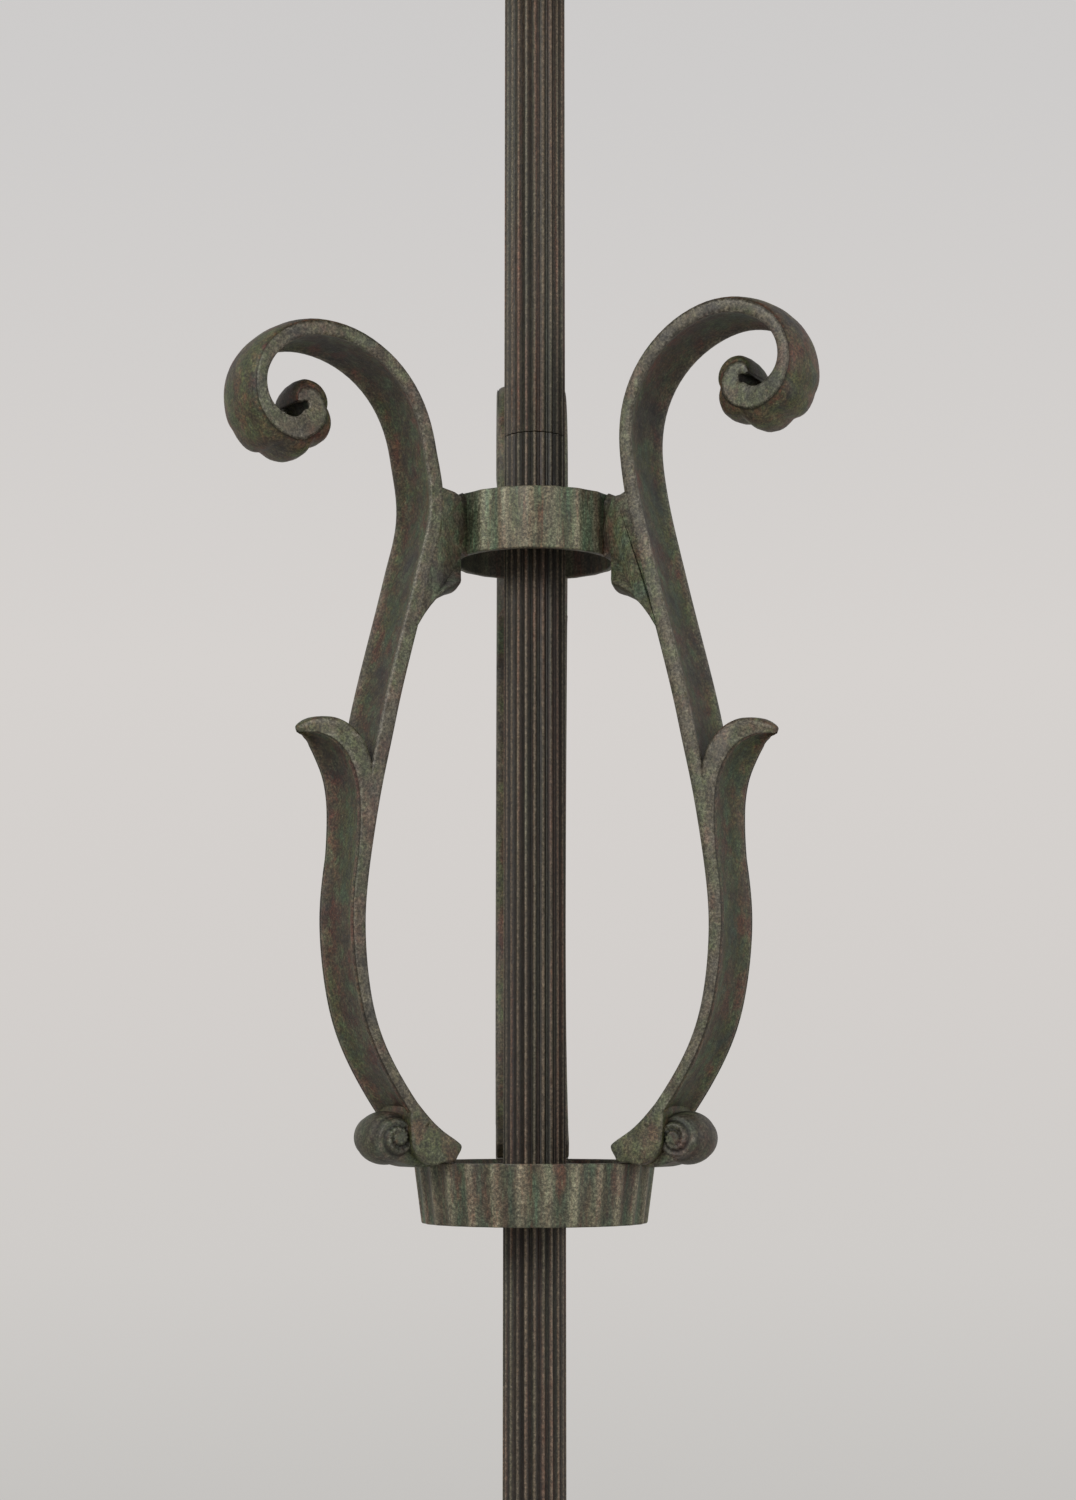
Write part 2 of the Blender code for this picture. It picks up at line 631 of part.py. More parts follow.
def make_arm(side, angle, bend, size, parts, cutters, finish):
    """One arm of the lyre: a flat band from foot to scroll, with its roll, leaf and web."""
    middle = band_middle()
    path = [(x, z) for x, z, _ in middle]
    half = [thick / 2 for _, _, thick in middle]
    outer = offset(path, half)
    inner = offset(path, [-h for h in half])
    leaf = leaf_outline()
    web = web_outline()
    leaf_low = first_above(outer, leaf[0][1])
    leaf_high = first_above(outer, leaf[-1][1] + 0.002)
    web_low = first_above(inner, web[0][1] - 0.003)
    web_high = first_above(inner, web[-1][1] + 0.002)
    outline = outer[:leaf_low] + leaf + bend_scroll(outer[leaf_high:] + inner[web_high:][::-1], bend, size)
    outline += web[::-1] + inner[:web_low][::-1] + foot_outline()[::-1]
    arm = across_arm("lyre_arm_" + side, outline, BAND_WIDTH, angle, finish, parts)
    roll_x, roll_z = LOWER_RING_R + ROLL_OUT, RIM_Z + ROLL_RISE
    roll = rod("roll_" + side, ROLL_R, (roll_x, -ROLL_LENGTH / 2, roll_z), (roll_x, ROLL_LENGTH / 2, roll_z),
               finish, cutters, 24)
    roll.rotation_euler.z = angle
    tongue = across_arm("tongue_" + side, tongue_outline(), TONGUE_WIDTH, angle, finish, cutters)
    combine(arm, tongue, "UNION")
    combine(arm, roll, "UNION")
    seat = rod("ring_seat_" + side, UPPER_RING_R + GAP, (0, 0, UPPER_RING_Z - GAP),
               (0, 0, UPPER_RING_TOP_Z + GAP), finish, cutters, 96)
    combine(arm, seat, "DIFFERENCE")
    stud = rod("stud_hole_arm_" + side, STUD_R + THREAD / 4, (STUD_X, 0, RIM_Z - 0.002),
               (STUD_X, 0, RIM_Z + STUD_RISE + GAP), finish, cutters, 12)
    pin = rod("pin_hole_arm_" + side, PIN_R + THREAD / 4, (UPPER_RING_R - 0.004, 0, PIN_Z),
              (UPPER_RING_R + PIN_REACH + GAP, 0, PIN_Z), finish, cutters, 12)
    for hole in (stud, pin):
        hole.rotation_euler.z = angle
        combine(arm, hole, "DIFFERENCE")


def make_stud(side, angle, parts, finish):
    stud = rod("foot_stud_" + side, STUD_R, (STUD_X, 0, RIM_Z - STUD_DEPTH + GAP),
               (STUD_X, 0, RIM_Z + STUD_RISE), finish, parts, 12)
    stud.rotation_euler.z = angle


def make_pin(side, angle, parts, finish):
    """A headed pin from inside the upper ring into the arm's web."""
    head = UPPER_RING_R - RING_WALL - GAP - 0.0002
    end = -(UPPER_RING_R + PIN_REACH - head)
    profile = [(0.0, 0.001), (PIN_HEAD_R, 0.001), (PIN_HEAD_R, 0.0), (PIN_R, 0.0), (PIN_R, end), (0.0, end)]
    pin = turned("ring_pin_" + side, profile, finish, parts, closed=False, steps=12)
    pin.rotation_euler = (0.0, -pi / 2, angle)
    pin.location = (head * cos(angle), head * sin(angle), PIN_Z)


# Bowl, lampholder and lamp

def make_crown(parts, finish):
    """The turned cup that seats on the stem and carries the bowl."""
    socket = STEM_R + SLIDE
    bore = PIPE_R + THREAD
    under = CROWN_TOP_Z - CROWN_SEAT
    spigot = CROWN_RING_BORE_R - GAP
    ring_foot = under - CROWN_RING_HEIGHT
    cup = smooth([
        (spigot, ring_foot - 0.0005), (spigot - 0.004, ring_foot - 0.004), (socket + 0.003, CROWN_Z + 0.004),
    ], 2)
    floor = CROWN_Z + SOCKET_DEPTH
    profile = [(bore, CROWN_TOP_Z), (CROWN_R, CROWN_TOP_Z), (CROWN_R, under), (spigot, under)] + cup
    profile += [(socket + 0.003, CROWN_Z), (socket, CROWN_Z), (socket, floor), (bore, floor)]
    turned("crown_cup", profile, finish, parts, steps=32)


def make_crown_ring(parts, finish):
    """The fluted band under the bowl, like the rings of the lyre."""
    outline = fluted(UPPER_RING_R, UPPER_RING_FLUTES, RING_FLUTE_DEPTH, 0.1)
    z = CROWN_TOP_Z - CROWN_SEAT - GAP - CROWN_RING_HEIGHT
    plate("crown_ring", [outline, circle(CROWN_RING_BORE_R, ROUND)], z, CROWN_RING_HEIGHT, finish, parts)


def bowl_line():
    """The bowl's outer line, from the rim down to its flat seat."""
    reach = BOWL_R - BOWL_SEAT_R
    shape = [(1.0, 1.0), (0.985, 0.86), (0.90, 0.62), (0.74, 0.38), (0.52, 0.19), (0.27, 0.07)]
    shape.append((0.08, 0.012))
    knots = [(BOWL_SEAT_R + reach * x, BOWL_Z + BOWL_DEPTH * z) for x, z in shape]
    return smooth(knots + [(BOWL_SEAT_R, BOWL_Z)], 2)


def make_bowl(parts, finish):
    outer = bowl_line()
    inner = offset(outer[:-1], BOWL_WALL)
    inner[0] = (outer[0][0] - BOWL_WALL, outer[0][1])
    bore = PIPE_R + THREAD
    floor = BOWL_Z + BOWL_WALL
    profile = outer + [(bore, BOWL_Z), (bore, floor), (BOWL_SEAT_R, floor)] + inner[::-1]
    turned("bowl", profile, finish, parts)


def make_bowl_rim(parts, finish):
    """The rolled bead on the bowl's edge, with a slot that the edge stands in."""
    top = BOWL_Z + BOWL_DEPTH
    middle = (BOWL_R - BOWL_WALL / 2, top)
    slot = BOWL_WALL / 2 + GAP
    start = radians(-90) + slot / RIM_R
    bead = []
    sides = 9
    for i in range(sides + 1):
        angle = start + (2 * pi - 2 * slot / RIM_R) * i / sides
        bead.append((middle[0] + RIM_R * cos(angle), middle[1] + RIM_R * sin(angle)))
    profile = bead[::-1] + [(middle[0] + slot, top + GAP), (middle[0] - slot, top + GAP)]
    turned("bowl_rim", profile, finish, parts)


def make_holder_cap(parts, cutters, finish):
    bore = PIPE_R + THREAD
    top = HOLDER_CAP_Z + HOLDER_CAP_HEIGHT
    inner = HOLDER_R - HOLDER_CAP_WALL
    floor = HOLDER_CAP_Z + HOLDER_CAP_WALL
    profile = [
        (inner, top), (HOLDER_R, top), (HOLDER_R, HOLDER_CAP_Z + 0.004), (HOLDER_R - 0.004, HOLDER_CAP_Z),
        (bore, HOLDER_CAP_Z), (bore, floor), (inner - 0.003, floor), (inner, floor + 0.003),
    ]
    cap = turned("holder_cap", profile, finish, parts, steps=32)
    hole = rod("switch_hole", SWITCH_SHAFT_R + THREAD / 2, (inner - 0.002, 0, SWITCH_Z),
               (HOLDER_R + 0.002, 0, SWITCH_Z), finish, cutters, 16)
    combine(cap, hole, "DIFFERENCE")


def make_holder(parts, finish):
    """The insulating body, open at the top for the lamp's cap."""
    inner = HOLDER_R - HOLDER_WALL
    top = HOLDER_Z + HOLDER_HEIGHT
    floor = HOLDER_FLOOR_Z
    neck = HOLDER_R - HOLDER_CAP_WALL - GAP
    profile = [
        (0.0, floor), (inner, floor), (inner, top), (HOLDER_R, top), (HOLDER_R, HOLDER_Z), (neck, HOLDER_Z),
        (neck, HOLDER_Z - 0.003), (0.0, HOLDER_Z - 0.003),
    ]
    turned("holder_body", profile, finish, parts, closed=False, steps=32)


def make_contact(parts, finish):
    """The threaded shell's stand-in: a contact sleeve on the holder's floor that the lamp's cap sits in."""
    outer = HOLDER_R - HOLDER_WALL - GAP
    inner = LAMP_CAP_R + GAP
    floor = HOLDER_FLOOR_Z + GAP
    profile = [
        (0.0, floor + CONTACT_THICK), (inner, floor + CONTACT_THICK), (inner, floor + CONTACT_HEIGHT),
        (outer, floor + CONTACT_HEIGHT), (outer, floor), (0.0, floor),
    ]
    turned("holder_contact", profile, finish, parts, closed=False, steps=32)


def make_lamp(parts, metal, glass):
    """The opal lamp: a cap, and an envelope whose neck stands in it."""
    foot = LAMP_Z
    top = foot + LAMP_CAP_HEIGHT
    neck = LAMP_CAP_R - 0.0008
    tip = [(0.0, foot + 0.004), (neck, foot + 0.004)]
    skirt = [(neck, top), (LAMP_CAP_R, top), (LAMP_CAP_R, foot + 0.005)]
    button = [(TIP_R, foot + 0.001), (TIP_R, foot), (0.0, foot)]
    turned("lamp_cap", tip + skirt + button, metal, parts, closed=False, steps=32)
    glass_foot = foot + 0.010
    height = LAMP_CAP_HEIGHT - 0.010 + LAMP_HEIGHT
    radius = neck - GAP
    widest = glass_foot + 0.66 * height
    dome = [
        (LAMP_R * cos(radians(a)), widest + LAMP_R * sin(radians(a))) for a in range(80, -20, -10)
    ]
    neck_line = [(radius + 0.004, glass_foot + 0.30 * height), (radius, top + 0.004), (radius, glass_foot)]
    outer = smooth(dome[::3] + neck_line, 2)
    inner = offset(outer, LAMP_WALL)
    profile = [(0.0, widest + LAMP_R)] + outer + inner[::-1] + [(0.0, widest + LAMP_R - LAMP_WALL)]
    turned("lamp_glass", profile, glass, parts, closed=False, steps=24)


def make_switch(parts, cutters, finish):
    """The turning switch: its origin is on its own axis, which runs along X."""
    inner = HOLDER_CAP_WALL + 0.001
    knob_end = SWITCH_REACH + SWITCH_KNOB_LENGTH
    outline = fluted(SWITCH_KNOB_R, 12, 0.0006, 0.3, 3)
    knob = plate("switch_knob", [outline], SWITCH_REACH, SWITCH_KNOB_LENGTH, finish, parts)
    knob.data.transform(Matrix.Rotation(pi / 2, 4, "Y"))
    shaft = rod("switch_shaft", SWITCH_SHAFT_R, (-inner, 0, 0), (knob_end / 2, 0, 0), finish, cutters, 16)
    for piece in (knob, shaft):
        piece.location = (HOLDER_R, 0.0, SWITCH_Z)
    combine(knob, shaft, "UNION")


def make_lyre(parts, cutters, bronze, steel):
    make_lower_ring(parts, cutters, bronze)
    make_upper_ring(parts, cutters, bronze)
    for side, (direction, bend, size) in ARMS.items():
        angle = direction + LYRE_TURN
        make_arm(side, angle, bend, size, parts, cutters, bronze)
        make_stud(side, angle, parts, steel)
        make_pin(side, angle, parts, bronze)
    tip = STEM_R + SLIDE + 0.0001
    end = tip + HUB_WALL - 0.0005
    grub = rod("lyre_grub_screw", GRUB_R, (tip, 0, GRUB_Z), (end, 0, GRUB_Z), steel, parts, 12)
    grub.rotation_euler.z = GRUB_TURN


def main():
    for old in list(bpy.data.objects):
        bpy.data.objects.remove(old, do_unlink=True)
    parts = new_collection("torchiere_floor_lamp")
    cutters = new_collection("cutters")
    cutters.hide_render = True
    bronze = material("patinated_bronze", (0.075, 0.070, 0.050), 0.45, 0.85)
    bowl_bronze = material("patinated_bronze_spun", (0.085, 0.075, 0.050), 0.42, 0.85)
    brass = material("brass", (0.55, 0.42, 0.20), 0.35, 1.0)
    steel = material("steel", (0.42, 0.42, 0.42), 0.4, 1.0)
    iron = material("cast_iron", (0.05, 0.05, 0.05), 0.7, 0.6)
    felt = material("green_felt", (0.03, 0.06, 0.04), 0.95, 0.0)
    black = material("black_plastic", (0.02, 0.02, 0.02), 0.4, 0.0)
    opal = material("opal_glass", (0.90, 0.90, 0.87), 0.2, 0.0)
    make_felt_pad(parts, felt)
    make_base_ring(parts, cutters, bronze)
    make_gland(parts, brass)
    make_dome(parts, bronze)
    make_weight(parts, iron)
    make_washer("base_washer", BASE_WASHER_Z, parts, steel)
    make_nut("base_nut", BASE_NUT_Z, parts, brass)
    make_terminal_block(parts, black)
    make_collar(parts, bronze)
    tube("draw_pipe", PIPE_R, PIPE_BORE_R, PIPE_Z, PIPE_TOP_Z - PIPE_Z, steel, parts)
    make_lead(parts, black)
    make_stem("lower_stem", STEM_Z, SEAM_Z, parts, bronze)
    tube("stem_coupler", STEM_BORE_R - GAP, PIPE_R + THREAD, SEAM_Z - COUPLER_LENGTH / 2, COUPLER_LENGTH,
         brass, parts)
    make_stem("upper_stem", UPPER_STEM_Z, UPPER_STEM_TOP_Z, parts, bronze)
    make_lyre(parts, cutters, bronze, steel)
    make_crown(parts, bronze)
    make_crown_ring(parts, bronze)
    make_bowl(parts, bowl_bronze)
    make_bowl_rim(parts, bronze)
    make_washer("bowl_washer", BOWL_WASHER_Z, parts, steel)
    make_nut("bowl_nut", BOWL_NUT_Z, parts, brass)
    make_holder_cap(parts, cutters, brass)
    make_holder(parts, black)
    make_contact(parts, brass)
    make_lamp(parts, brass, opal)
    make_switch(parts, cutters, black)
    cutters.hide_viewport = False


main()
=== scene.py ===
# %% [markdown]
# # A torchiere floor lamp in patinated bronze
# The lamp is a fluted stem on a weighted base, with an uplight bowl on top and an open lyre on the stem.
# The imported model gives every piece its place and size. This lesson builds the surfaces that the eye sees
# around it: lofted arms with lips and scrolls, fluted rings made with Geometry Nodes, and a bronze patina
# that gathers in the hollows.

from math import cos, hypot, pi, radians, sin

import bmesh
import bpy
from mathutils import Matrix, Vector


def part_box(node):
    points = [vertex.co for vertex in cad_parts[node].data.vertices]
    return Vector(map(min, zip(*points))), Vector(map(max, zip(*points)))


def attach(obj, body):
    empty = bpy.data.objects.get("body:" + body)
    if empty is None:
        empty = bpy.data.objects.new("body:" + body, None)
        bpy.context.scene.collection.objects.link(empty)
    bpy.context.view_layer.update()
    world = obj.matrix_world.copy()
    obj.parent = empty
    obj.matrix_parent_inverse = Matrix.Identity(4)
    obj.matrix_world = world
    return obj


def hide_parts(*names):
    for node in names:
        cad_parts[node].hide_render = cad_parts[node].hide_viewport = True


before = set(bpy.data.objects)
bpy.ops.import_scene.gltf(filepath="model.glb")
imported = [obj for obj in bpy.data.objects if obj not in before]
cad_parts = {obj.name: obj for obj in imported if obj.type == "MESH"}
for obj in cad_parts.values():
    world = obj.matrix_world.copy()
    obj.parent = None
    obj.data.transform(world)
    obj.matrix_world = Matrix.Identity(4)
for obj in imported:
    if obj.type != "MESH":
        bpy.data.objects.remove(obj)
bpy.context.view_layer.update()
BODY = "lamp"
SWITCH = "switch"


# %% [markdown]
# ## Sizes from the frame
# A piece that is remade has to sit exactly where the imported one sits. Instead of writing those places
# again, this helper asks the imported model for a node's box and gives back what a turned piece needs: its
# foot, its top and its radius.

# %% Read the sizes that everything else follows
MM = 0.001


def extent(node):
    """Foot height, top height and outer radius of a node that stands on the lamp's axis."""
    low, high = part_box(node)
    return low[2], high[2], max(high[0], -low[0], high[1], -low[1])


LOWER_FOOT, RIM, LOWER_R = extent("lyre_lower_ring")
UPPER_FOOT, UPPER_TOP, UPPER_R = extent("lyre_upper_ring")
STEM_R = extent("lower_stem")[2]
RISE = UPPER_FOOT - RIM
BAND_WIDTH = 29 * MM
LYRE_TURN = radians(1.2)
print("lyre rings from", LOWER_FOOT, "to", UPPER_TOP, "stem radius", STEM_R)


# %% [markdown]
# ## The camera
# The view is a close one, at the height of the lower ring and tilted up a little, with a short telephoto
# lens. Only the lyre and part of the stem are in it. The whole lamp is still modelled, so other views work
# too.

# %% Make the camera
CAMERA_DISTANCE = 1.034
CAMERA_RISE = 0.0459  # above the lower ring's foot
CAMERA_TILT = radians(7.39)
camera_data = bpy.data.cameras.new("camera")
camera_data.sensor_fit = "VERTICAL"
camera_data.sensor_height = 36
camera_data.lens = 64.8
camera_data.clip_end = 50
camera = bpy.data.objects.new("camera", camera_data)
camera.location = (0.0013, -CAMERA_DISTANCE, LOWER_FOOT + CAMERA_RISE)
camera.rotation_euler = (pi / 2 + CAMERA_TILT, 0, 0)
bpy.context.scene.collection.objects.link(camera)
bpy.context.scene.camera = camera
print("camera at", tuple(camera.location))


# %% [markdown]
# ## Colours and nodes
# Hex colours are written the way a painter reads them, in sRGB, while shaders work in linear light. One
# function turns one into the other. A second one adds a node with its settings and links, so each material
# below reads as a list of steps.

# %% Helpers for materials
def colour(code):
    """A linear colour from an sRGB hex code."""
    channels = [int(code[i:i + 2], 16) / 255 for i in (1, 3, 5)]
    linear = [c / 12.92 if c <= 0.04045 else ((c + 0.055) / 1.055) ** 2.4 for c in channels]
    return (*linear, 1.0)


def add(tree, kind, values=None, links=None, **settings):
    """Adds a node, sets its properties and input values, and links other nodes' outputs to its inputs."""
    node = tree.nodes.new(kind)
    for name, value in settings.items():
        setattr(node, name, value)
    for name, value in (values or {}).items():
        node.inputs[name].default_value = value
    for name, source in (links or {}).items():
        tree.links.new(source, node.inputs[name])
    return node


def ramp(tree, source, stops, interpolation="LINEAR"):
    """A colour ramp from (place, hex or grey value) stops."""
    node = add(tree, "ShaderNodeValToRGB", links={"Fac": source})
    node.color_ramp.interpolation = interpolation
    while len(node.color_ramp.elements) < len(stops):
        node.color_ramp.elements.new(0.5)
    for element, (place, tone) in zip(node.color_ramp.elements, stops):
        element.position = place
        element.color = colour(tone) if isinstance(tone, str) else (tone, tone, tone, 1.0)
    return node.outputs["Color"]


def mix(tree, share, first, second, blend="MIX"):
    """Mixes two colours; the share and each colour are a socket or a value."""
    node = add(tree, "ShaderNodeMix", data_type="RGBA", blend_type=blend)
    for socket, value in ((node.inputs[0], share), (node.inputs[6], first), (node.inputs[7], second)):
        if isinstance(value, bpy.types.NodeSocket):
            tree.links.new(value, socket)
        else:
            socket.default_value = value
    return node.outputs[2]


def math(tree, operation, first, second=0.0, clamp=False):
    """One step of arithmetic on sockets or values."""
    node = add(tree, "ShaderNodeMath", operation=operation, use_clamp=clamp)
    for socket, value in zip(node.inputs, (first, second)):
        if isinstance(value, bpy.types.NodeSocket):
            tree.links.new(value, socket)
        else:
            socket.default_value = value
    return node.outputs[0]


def grain(tree, place, size, detail=4.0, rough=0.55, stretch=(1, 1, 1)):
    """Noise whose features are about `size` metres across, optionally stretched."""
    mapped = add(tree, "ShaderNodeMapping", {"Scale": stretch}, {"Vector": place})
    node = add(tree, "ShaderNodeTexNoise", {"Scale": 1 / size, "Detail": detail, "Roughness": rough},
               {"Vector": mapped.outputs["Vector"]})
    return node.outputs["Fac"]


def start_material(name, **values):
    """An empty Principled material, its tree, its shader and its Object coordinates."""
    made = bpy.data.materials.new(name)
    made.use_nodes = True
    tree = made.node_tree
    shader = tree.nodes["Principled BSDF"]
    for socket, value in values.items():
        shader.inputs[socket.replace("_", " ")].default_value = value
    place = add(tree, "ShaderNodeTexCoord").outputs["Object"]
    return made, tree, shader, place


# %% [markdown]
# ## Patinated cast bronze
# Bronze that has been chemically coloured carries a thin skin of brown oxide and green copper salts. The
# skin is darkest on flat cast faces, greenest where water sits, in hollows and at joints, and rubbed back
# to a greyer, shinier brown on the edges that hands reach. The meshes below store numbers on each point:
# `hollow` places the green, another places the grey rub on worn edges together with a painted highlight on
# lit faces and lips, and a third places painted shade, near black, in recesses, creases and undersides.
# Sand casting leaves a grit of about half a millimetre, which is drawn a millimetre wide here so that it
# shows.

# %% Build the bronze
def attribute(tree, name):
    return add(tree, "ShaderNodeAttribute", attribute_name=name).outputs["Fac"]


def spots(tree, place, size, start, full, stretch=(1, 1, 1), detail=5.0):
    """A mask that is 0 where the noise is under start and 1 above full."""
    return ramp(tree, grain(tree, place, size, detail, 0.65, stretch), [(start, 0.0), (full, 1.0)])


RUST_BROWN = "#6b3c28"
SALT_FLECK = "#8a9173"
# Near black: painted shade for recesses, creases and undersides
PAINTED_SHADE_BLACK = "#0b0a09"


def patinated_bronze(name, dark, warm, red, olive, green, rub_and_painted_light, green_share, streak, patch):
    """Streak under 1 draws the patches out along Z; patch is their size."""
    made, tree, shader, place = start_material(name, Metallic=0.25, Roughness=0.5)
    along = (1, 1, streak)
    cast = grain(tree, place, patch, 4, 0.65, along)
    base = ramp(tree, cast, [(0.34, dark), (0.47, warm), (0.56, olive), (0.68, dark)])
    reds = spots(tree, place, patch * 0.6, 0.52, 0.60, (1.3, 1, streak))
    rust = attribute(tree, "rust")
    reds = math(tree, "MULTIPLY", reds, math(tree, "ADD", 0.45, math(tree, "MULTIPLY", rust, 0.55)), True)
    base = mix(tree, reds, base, colour(red))
    rusty = spots(tree, place, 4 * MM, 0.44, 0.60, along)
    rusty = math(tree, "MULTIPLY", rusty, math(tree, "POWER", rust, 1.5), True)
    base = mix(tree, math(tree, "MULTIPLY", rusty, 0.55), base, colour(RUST_BROWN))
    hollow = attribute(tree, "hollow")
    salts = spots(tree, place, 6 * MM, 0.46, 0.66, along, 7)
    verdigris = math(tree, "MULTIPLY", math(tree, "MULTIPLY", hollow, salts), green_share, True)
    base = mix(tree, verdigris, base, colour(green))
    flecks = math(tree, "MULTIPLY", spots(tree, place, 1.6 * MM, 0.58, 0.70, along, 4), green_share, True)
    base = mix(tree, math(tree, "MULTIPLY", flecks, 0.45), base, colour(SALT_FLECK))
    # Grey rub on worn edges; where the stored number marks lit faces and lips it is a painted highlight
    edge = attribute(tree, "edge")
    worn = ramp(tree, grain(tree, place, 3 * MM, 5, 0.7), [(0.34, 0.25), (0.62, 1.0)])
    rub_and_light_share = math(tree, "MULTIPLY", edge, worn, True)
    base = mix(tree, math(tree, "MULTIPLY", rub_and_light_share, 0.8), base, colour(rub_and_painted_light))
    grit = grain(tree, place, 1.0 * MM, 3, 0.8)
    tone = ramp(tree, grit, [(0.36, 0.35), (0.50, 0.85), (0.64, 1.80)])
    base = mix(tree, 1.0, base, tone, "MULTIPLY")
    clouds = ramp(tree, grain(tree, place, 5 * MM, 4, 0.6, along), [(0.32, 0.62), (0.68, 1.25)])
    base = mix(tree, 1.0, base, clouds, "MULTIPLY")
    # Painted shade: the stored shade number darkens the colour towards near black
    soot = math(tree, "MULTIPLY", attribute(tree, "soot"), 0.9, True)
    base = mix(tree, soot, base, colour(PAINTED_SHADE_BLACK))
    tree.links.new(base, shader.inputs["Base Color"])
    uneven = math(tree, "MULTIPLY", math(tree, "ADD", grit, worn), 0.5)
    rough = ramp(tree, uneven, [(0.25, 0.42), (0.75, 0.60)])
    tree.links.new(rough, shader.inputs["Roughness"])
    height = math(tree, "ADD", math(tree, "MULTIPLY", grit, 0.6), grain(tree, place, 5 * MM, 3, 0.5))
    bump = add(tree, "ShaderNodeBump", {"Strength": 0.7, "Distance": 0.4 * MM}, {"Height": height})
    tree.links.new(bump.outputs["Normal"], shader.inputs["Normal"])
    return made


# Cast in sand and darkened: large soft patches, and a grey rub on the edges that also paints lit faces
# lighter as a painted highlight
ARM_BRONZE = patinated_bronze(
    "patinated cast bronze", dark="#2b2924", warm="#463d29", red="#542e23", olive="#424828", green="#45634a",
    rub_and_painted_light="#716e65", green_share=0.5, streak=0.8, patch=24 * MM)
# Cast rings, where more green has settled and run down the flutes
RING_BRONZE = patinated_bronze(
    "verdigris cast bronze", dark="#414037", warm="#5b5542", red="#613e2f", olive="#525a42", green="#55785f",
    rub_and_painted_light="#83806c", green_share=0.8, streak=0.14, patch=9 * MM)
# Drawn tube: its colour runs in long streaks along the drawing
STEM_BRONZE = patinated_bronze(
    "patinated drawn bronze", dark="#342a20", warm="#50402c", red="#6b3c2b", olive="#40402c", green="#4a5f4b",
    rub_and_painted_light="#70685a", green_share=0.35, streak=0.03, patch=7 * MM)
print("bronzes:", ARM_BRONZE.name, RING_BRONZE.name, STEM_BRONZE.name)


# %% [markdown]
# ## The arm's middle line
# Each arm is one long band. It springs from the lower ring, swells outwards like the side of a lyre, comes
# back in to the upper ring, and rolls over into a scroll. A smooth curve through a few listed knots gives
# the side view of the body. The scroll is a chain of arcs, each one tighter than the last, as a smith
# rolls it: each arc starts in the direction in which the one before it ends, so the band never kinks.

# %% Draw the band from foot to eye
def smooth(knots, steps):
    """A Catmull-Rom curve through knots of any number of values."""
    points = []
    ends = [knots[0], *knots, knots[-1]]
    for before, start, end, after in zip(ends, ends[1:], ends[2:], ends[3:]):
        for i in range(steps):
            t = i / steps
            points.append(tuple(
                0.5 * (2 * b + (c - a) * t + (2 * a - 5 * b + 4 * c - d) * t**2
                       + (3 * b - a - 3 * c + d) * t**3)
                for a, b, c, d in zip(before, start, end, after)
            ))
    points.append(tuple(knots[-1]))
    return points


NECK_GAP = 18.8 * MM
BELLY = 36 * MM
# Share of the rise from ring to ring, bulge beyond the ring-to-ring line as a share of the belly, thickness
BAND = [
    (0.060, 0.215, 5.2), (0.093, 0.386, 5.0), (0.159, 0.656, 4.6), (0.224, 0.833, 4.8), (0.296, 0.922, 5.2),
    (0.370, 0.953, 5.8), (0.430, 0.931, 6.1), (0.500, 0.862, 6.0), (0.596, 0.745, 6.2), (0.675, 0.621, 6.5),
    (0.743, 0.517, 6.5), (0.822, 0.375, 6.5), (0.909, 0.211, 6.5), (0.996, 0.056, 6.5), (1.083, -0.091, 6.2),
    (1.161, -0.176, 5.6),
]
# Radius in millimetres, turn in degrees, thickness at the arc's end in millimetres
SCROLL = [
    (45.7, 30, 5.5), (43.6, 55, 6.0), (30.6, 45, 5.7), (22.6, 60, 4.5), (16.2, 60, 4.5), (11.9, 90, 5.2),
    (6.5, 80, 5.4), (3.5, 110, 4.8),
]
SCROLL_LEAN = radians(99.3)


def band_point(rise, bulge):
    across = LOWER_R + (UPPER_R + NECK_GAP - LOWER_R) * rise + BELLY * bulge
    return across, RIM + RISE * rise


def scroll_line(x, z, thick):
    """The chain of arcs, clockwise, with a point every few degrees."""
    direction = SCROLL_LEAN
    line = []
    for radius, turn, end_thick in SCROLL:
        steps = turn // 5
        step = radians(turn / steps)
        chord = 2 * radius * MM * sin(step / 2)
        for i in range(1, steps + 1):
            x += chord * cos(direction - step / 2)
            z += chord * sin(direction - step / 2)
            direction -= step
            line.append((x, z, thick + (end_thick * MM - thick) * i / steps))
        thick = end_thick * MM
    return line


def band_middle():
    """The middle line as (distance from the stem's axis, height, thickness), evened out where arcs meet."""
    neck = smooth([(*band_point(rise, bulge), thick * MM) for rise, bulge, thick in BAND], 6)
    line = neck + scroll_line(*neck[-1])
    for _ in range(8):
        trios = zip(line, line[1:], line[2:])
        inner = [tuple((a + 2 * b + c) / 4 for a, b, c in zip(*trio)) for trio in trios]
        line = [line[0], *inner, line[-1]]
    return line


MIDDLE = band_middle()
print("stations along the band:", len(MIDDLE))


# %% [markdown]
# ## Hand-set scrolls
# The scrolls were bent over a form by hand, so no two stand quite alike: the left one is rolled further
# over than the right one. Turning and scaling the part above the neck by a share that grows smoothly copies
# that bending.

# %% Bend the scroll of one arm
ARMS = {"right": (radians(-30), 0.0, 1.0), "left": (radians(-150), radians(15), 0.985),
        "rear": (radians(90), radians(-2), 1.0)}


